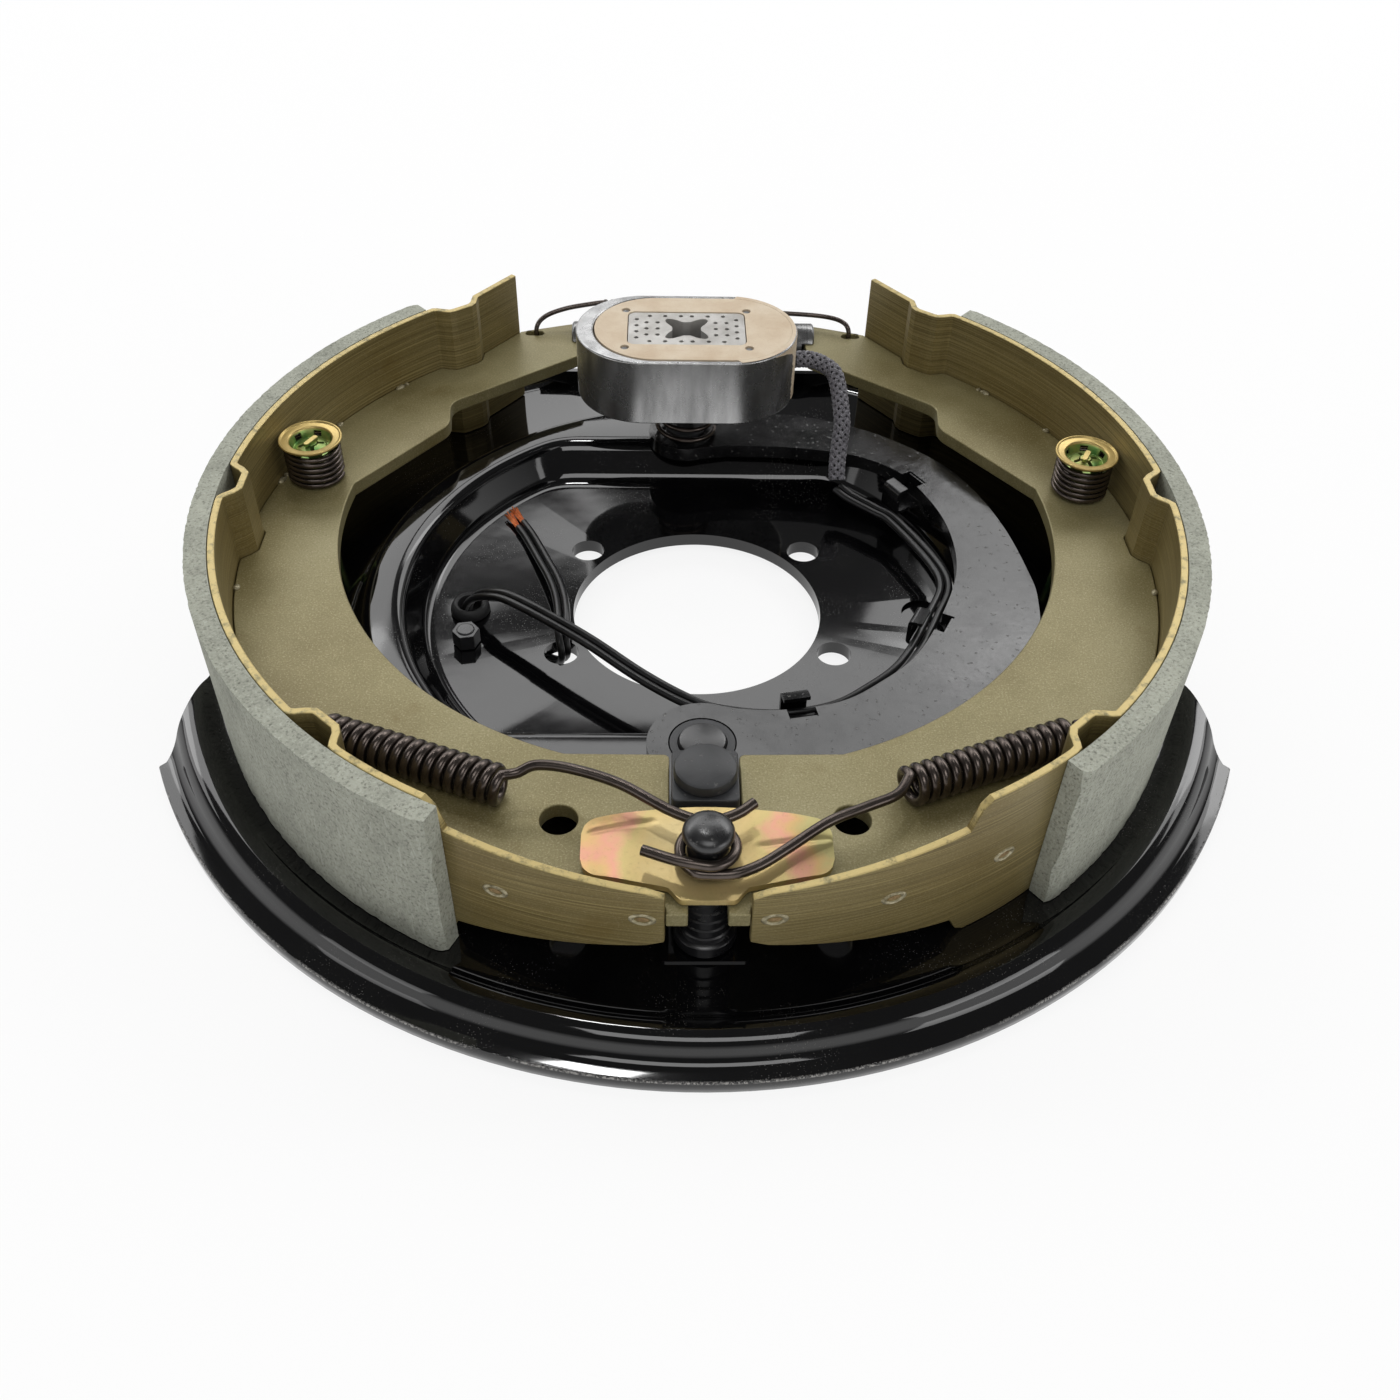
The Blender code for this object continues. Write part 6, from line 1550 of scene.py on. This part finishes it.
def build_hold_down(label, side):
    """Coil spring, cup and flat-ended pin over a web."""
    centre = HOLD_PLACES[side]
    low = WEB_TOP + GAP + HOLD_WIRE
    top = low + HOLD_TURNS * HOLD_PITCH
    coil = coil_line((*centre, low), (*centre, top), HOLD_RADIUS, HOLD_TURNS, 36)
    shown_spring(f"hold_down_coil_{label}", coil, HOLD_WIRE, "plate", f"hold_down_spring_{label}")
    base = top + HOLD_WIRE + GAP
    shown(f"hold_down_seat_{label}", hold_down_cup(centre, base), CUP_ZINC, "plate",
          f"hold_down_cup_{label}", edge=0.00015)
    pin = [(0.0, 0.0001), (0.0036, 0.0001), (0.0040, 0.0003), (0.0040, 0.0006), (0.0018, 0.0007),
           (0.0018, base - 0.0010), (0.0, base - 0.0010)]
    blade = slab(rounded_box((0.0, 0.0), 0.0060, 0.0018, 0.0008, 5), base - 0.0011, base + 0.0001)
    shown(f"hold_down_nail_{label}", joined([turned(pin, centre, 28), placed(blade, centre, 62.0)]),
          CUP_ZINC, "plate", f"hold_down_pin_{label}", edge=0.0002)


build_return_springs()
build_adjuster()
build_adjuster_spring()
build_hold_down("primary", 1)
build_hold_down("secondary", -1)


# Lever, pivot and block -----------------------------------------------------------------

PIVOT_BOSS = 0.0157
PIN_HOLE = 0.0045             # radius of the holes for the block's pin
LEVER_CUT = (0.0, 0.05)
# Places of the lead tabs as angle and offset, with their headings
TAB_SPOTS = ((-65.8, -0.0270), (-18.8, -0.0190), (33.9, -0.0071))
TAB_HEADINGS = (101.0, 152.6, 212.0)
TAB_LINE = ((-0.0042, 0.0044), (-0.0040, -0.0039), (0.0072, -0.0039), (0.0072, 0.0040),
            (0.0034, 0.0044))


def lever_outline():
    """Plan of the lever."""
    points = arc((0.0, BLOCK_Y), 0.0095, -10.0, -170.0, 20)
    points += arc((0.0, PIVOT_Y), PIVOT_BOSS, 205.0, 80.0, 24)
    points += smooth_line([(0.0085, PIVOT_Y + PIVOT_BOSS * 0.86)] + LEVER_INNER, 8)[1:]
    points += arc(MAGNET, 0.0130, -60.0, -270.0, 30)[1:]
    return points + smooth_line(LEVER_OUTER, 8)


def lead_tab():
    """Clip lanced from the lever's inner edge and bent down, under and up round the leads."""
    middle = soft_corners(TAB_LINE, 0.0010, 4)
    profile = beside_line(middle, 0.0006) + beside_line(middle, -0.0006)[::-1]
    return swept([[(out, along, LEVER_LOW + height) for out, height in profile]
                  for along in (-0.0040, 0.0040)])


def build_lever():
    """Crescent arm from the block to the magnet."""
    shape = slab(lever_outline(), LEVER_LOW, LEVER_TOP)
    shape = drill(shape, [(0.0, PIVOT_Y)], 0.0096, *LEVER_CUT, 48)
    shape = drill(shape, [(0.0, BLOCK_Y)], PIN_HOLE, *LEVER_CUT)
    shape = drill(shape, [MAGNET], 0.0035, *LEVER_CUT)
    for spot, heading in zip(ring_points(TAB_SPOTS), TAB_HEADINGS):
        notch = slab(rounded_box((-0.0014, 0.0), 0.0060, 0.0084, 0.0003, 3), *LEVER_CUT)
        shape = cut(shape, placed(notch, spot, heading))
        shape = fused(shape, placed(lead_tab(), spot, heading))
    shown("lever_arm", shape, LEVER_IRON, "lever", "actuating_lever", edge=0.0006)


def build_pivot():
    """Pivot pin and the bush round it."""
    centre = (0.0, PIVOT_Y)
    pin = [(0.0, 0.0126), (0.0049, 0.0126), (0.0049, 0.0142), (0.0036, 0.0142), (0.0036, 0.0193),
           (0.00675, 0.0193), (0.00675, 0.0250), (0.0064, 0.0255), (0.0058, 0.0257), (0.0, 0.0257)]
    shown("pivot_stud", turned(pin, centre, 48), POST_IRON, "plate", "pivot_pin")
    ring = [(0.00705, LEVER_LOW), (0.0093, LEVER_LOW), (0.0093, LEVER_TOP), (0.00705, LEVER_TOP)]
    shown("pivot_ring", turned(soft_corners(ring, 0.0004, 2), centre, 48), BLOCK_IRON, "lever",
          "pivot_bush")


def build_block():
    """Square block between the webs and its headed pin."""
    centre = (0.0, BLOCK_Y)
    shape = slab(rounded_box(centre, 0.0175, 0.0180, 0.0015, 4), LEVER_TOP + GAP, 0.0380)
    shape = drill(shape, [centre], PIN_HOLE, 0.01, 0.05, 40)
    shown("push_block", shape, BLOCK_IRON, "block", "actuating_block", edge=0.0005)
    head = [(0.0, 0.0199), (0.0042, 0.0199), (0.0042, 0.0383), (0.0080, 0.0383), (0.0083, 0.0386),
            (0.0083, 0.0407), (0.0080, 0.0413), (0.0072, 0.0417), (0.0, 0.0417)]
    shown("push_block_pin", turned(head, centre, 56), BLOCK_IRON, "lever", "block_pin")


build_lever()
build_pivot()
build_block()


# Magnet ---------------------------------------------------------------------------------

CASE_TOP = MAGNET_TOP - 0.0001
FACE_CUT = (0.05, 0.08)       # heights between which a tool cuts the face
RIVET_PLACES = [(MAGNET_X + x, MAGNET_Y + y) for x in (-0.0210, 0.0210)
                for y in (-0.0133, 0.0122)]


def stadium(length, depth, shift=0.0):
    """Outline with round ends about the magnet's stud."""
    return rounded_box((MAGNET_X + shift, MAGNET_Y), length, depth, depth / 2, 28)


def face_outline(smaller=0.0):
    """Outline of the friction face."""
    return stadium(FACE_LENGTH - smaller, FACE_DEPTH - smaller, FACE_SHIFT)


def star_outline():
    """Four-lobed hole in the core plate."""
    points = []
    for index in range(96):
        angle = 2 * math.pi * index / 96
        reach = 0.0047 + 0.0047 * abs(math.sin(2 * angle)) ** 4
        points.append((MAGNET_X + reach * 1.05 * math.cos(angle),
                       MAGNET_Y + reach * 0.98 * math.sin(angle)))
    return points


def core_dots():
    """Places of the punched dots round the star hole."""
    spots = [(x, y) for y in (-0.0087, 0.0087)
             for x in (-0.0127, -0.0074, -0.0019, 0.0019, 0.0074, 0.0127)]
    spots += [(x, y) for x in (-0.0172, 0.0172) for y in (-0.0063, -0.0021, 0.0021, 0.0063)]
    spots += [(x, y) for x in (-0.0138, -0.0100, 0.0100, 0.0138) for y in (-0.0042, 0.0, 0.0042)]
    return [(MAGNET_X + x, MAGNET_Y + y) for x, y in spots]


def face_smear():
    """Face compound smeared over the right end of the case's top."""
    smear = slab(stadium(MAGNET_LENGTH - 0.0008, MAGNET_DEPTH - 0.0008), CASE_TOP, MAGNET_TOP)
    smear = cut(smear, slab(face_outline(0.0005), *FACE_CUT))
    edge = [(MAGNET_X + 0.0180 + 0.0030 * noise.noise(Vector((step * 0.9, 4.0, 0.0))),
             0.050 + step * 0.002) for step in range(32)]
    return cut(smear, slab([(-0.06, 0.050), *edge, (-0.06, 0.112)], *FACE_CUT))


def face_drip():
    """Face compound that has run down the right end of the case."""
    drip = bmesh.new()
    bmesh.ops.create_grid(drip, x_segments=20, y_segments=36, size=1.0)
    for vert in drip.verts:
        height = MAGNET_LOW + 0.0006 + (MAGNET_TOP - MAGNET_LOW - 0.0014) * (vert.co.y + 1) / 2
        fall = MAGNET_TOP - height
        left = -20 - 46 * math.exp(-fall / 0.0018)
        left += 5 * noise.noise(Vector((0.0, height * 700, 2.0)))
        right = -7 + 50 * math.exp(-fall / 0.0024)
        right += 4 * noise.noise(Vector((5.0, height * 500, 2.0)))
        x, y = polar(left + (right - left) * (vert.co.x + 1) / 2, MAGNET_DEPTH / 2 + 0.00008)
        vert.co = (MAGNET_X + (MAGNET_LENGTH - MAGNET_DEPTH) / 2 + x, MAGNET_Y + y, height)
    bmesh.ops.recalc_face_normals(drip, faces=drip.faces)
    bmesh.ops.solidify(drip, geom=drip.faces, thickness=-0.00022)
    bmesh.ops.recalc_face_normals(drip, faces=drip.faces)
    return drip


def build_magnet():
    """Case, punched core plate with its rivets, and the tan face."""
    floor = MAGNET_LOW + 0.0040
    case = slab(stadium(MAGNET_LENGTH, MAGNET_DEPTH), MAGNET_LOW, CASE_TOP)
    case = drill(cut(case, slab(face_outline(), floor, 0.08)), [MAGNET], 0.0035, 0.03, 0.07)
    shown("magnet_shell", case, CASE_STEEL, "magnet", "magnet_case", edge=0.0007)
    core = slab(rounded_box(MAGNET, CORE_LENGTH, CORE_DEPTH, 0.0025), floor + GAP,
                MAGNET_TOP - GAP)
    core = cut(core, slab(star_outline(), 0.04, 0.08))
    core = drill(core, core_dots(), 0.00078, MAGNET_TOP - 0.0030, 0.08, 14)
    shown("core_plate", core, CORE, "magnet", "magnet_core", edge=0.0002)
    opening = rounded_box(MAGNET, CORE_LENGTH + 0.0006, CORE_DEPTH + 0.0006, 0.0028)
    face = slab(face_outline(0.0006), MAGNET_TOP - 0.0030, MAGNET_TOP)
    face = cut(face, slab(opening, *FACE_CUT))
    face = drill(face, RIVET_PLACES, 0.0015, MAGNET_TOP - 0.0010, 0.08)
    shown("friction_pad", face, TAN, "magnet", "magnet_face", edge=0.0003)
    rivet = raised(((0.0, -0.0009), (0.0013, -0.0009), (0.0011, -0.0005), (0.0, -0.0003)),
                   MAGNET_TOP)
    shown("core_rivets", joined([turned(rivet, place, 24) for place in RIVET_PLACES]),
          RIVET_STEEL, "magnet")
    shown("face_smear", joined([face_smear(), face_drip()]), TAN, "magnet", angle=60.0)


def build_magnet_stud():
    """Stud, clip and conical spring that carry the magnet."""
    low = LEVER_TOP + GAP
    profile = [(0.0, LEVER_LOW + GAP), (0.0032, LEVER_LOW + GAP), (0.0032, low), (0.0068, low),
               (0.0070, low + 0.0002), (0.0070, low + 0.0013), (0.0068, low + 0.0015),
               (0.0032, low + 0.0015), (0.0032, 0.0562), (0.0027, 0.0564), (0.0027, 0.0572),
               (0.0032, 0.0574), (0.0032, 0.0590), (0.0028, 0.0595), (0.0, 0.0595)]
    shown("carrier_stud", turned(profile, MAGNET, 40), BLOCK_IRON, "lever", "magnet_stud")
    coil = coil_line((*MAGNET, low + THIN_WIRE), (*MAGNET, MAGNET_LOW - GAP - THIN_WIRE),
                     0.0105, 4, 36, 0.0, 0.0070)
    spring = shown_spring("carrier_spring", coil, THIN_WIRE, "lever", "magnet_spring")
    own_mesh(spring)


build_magnet()
build_magnet_stud()

for node, (finish, _) in (("magnet_coil", COPPER), ("slot_plug", GROMMET_RUBBER)):
    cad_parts[node].material_slots[0].material = finish
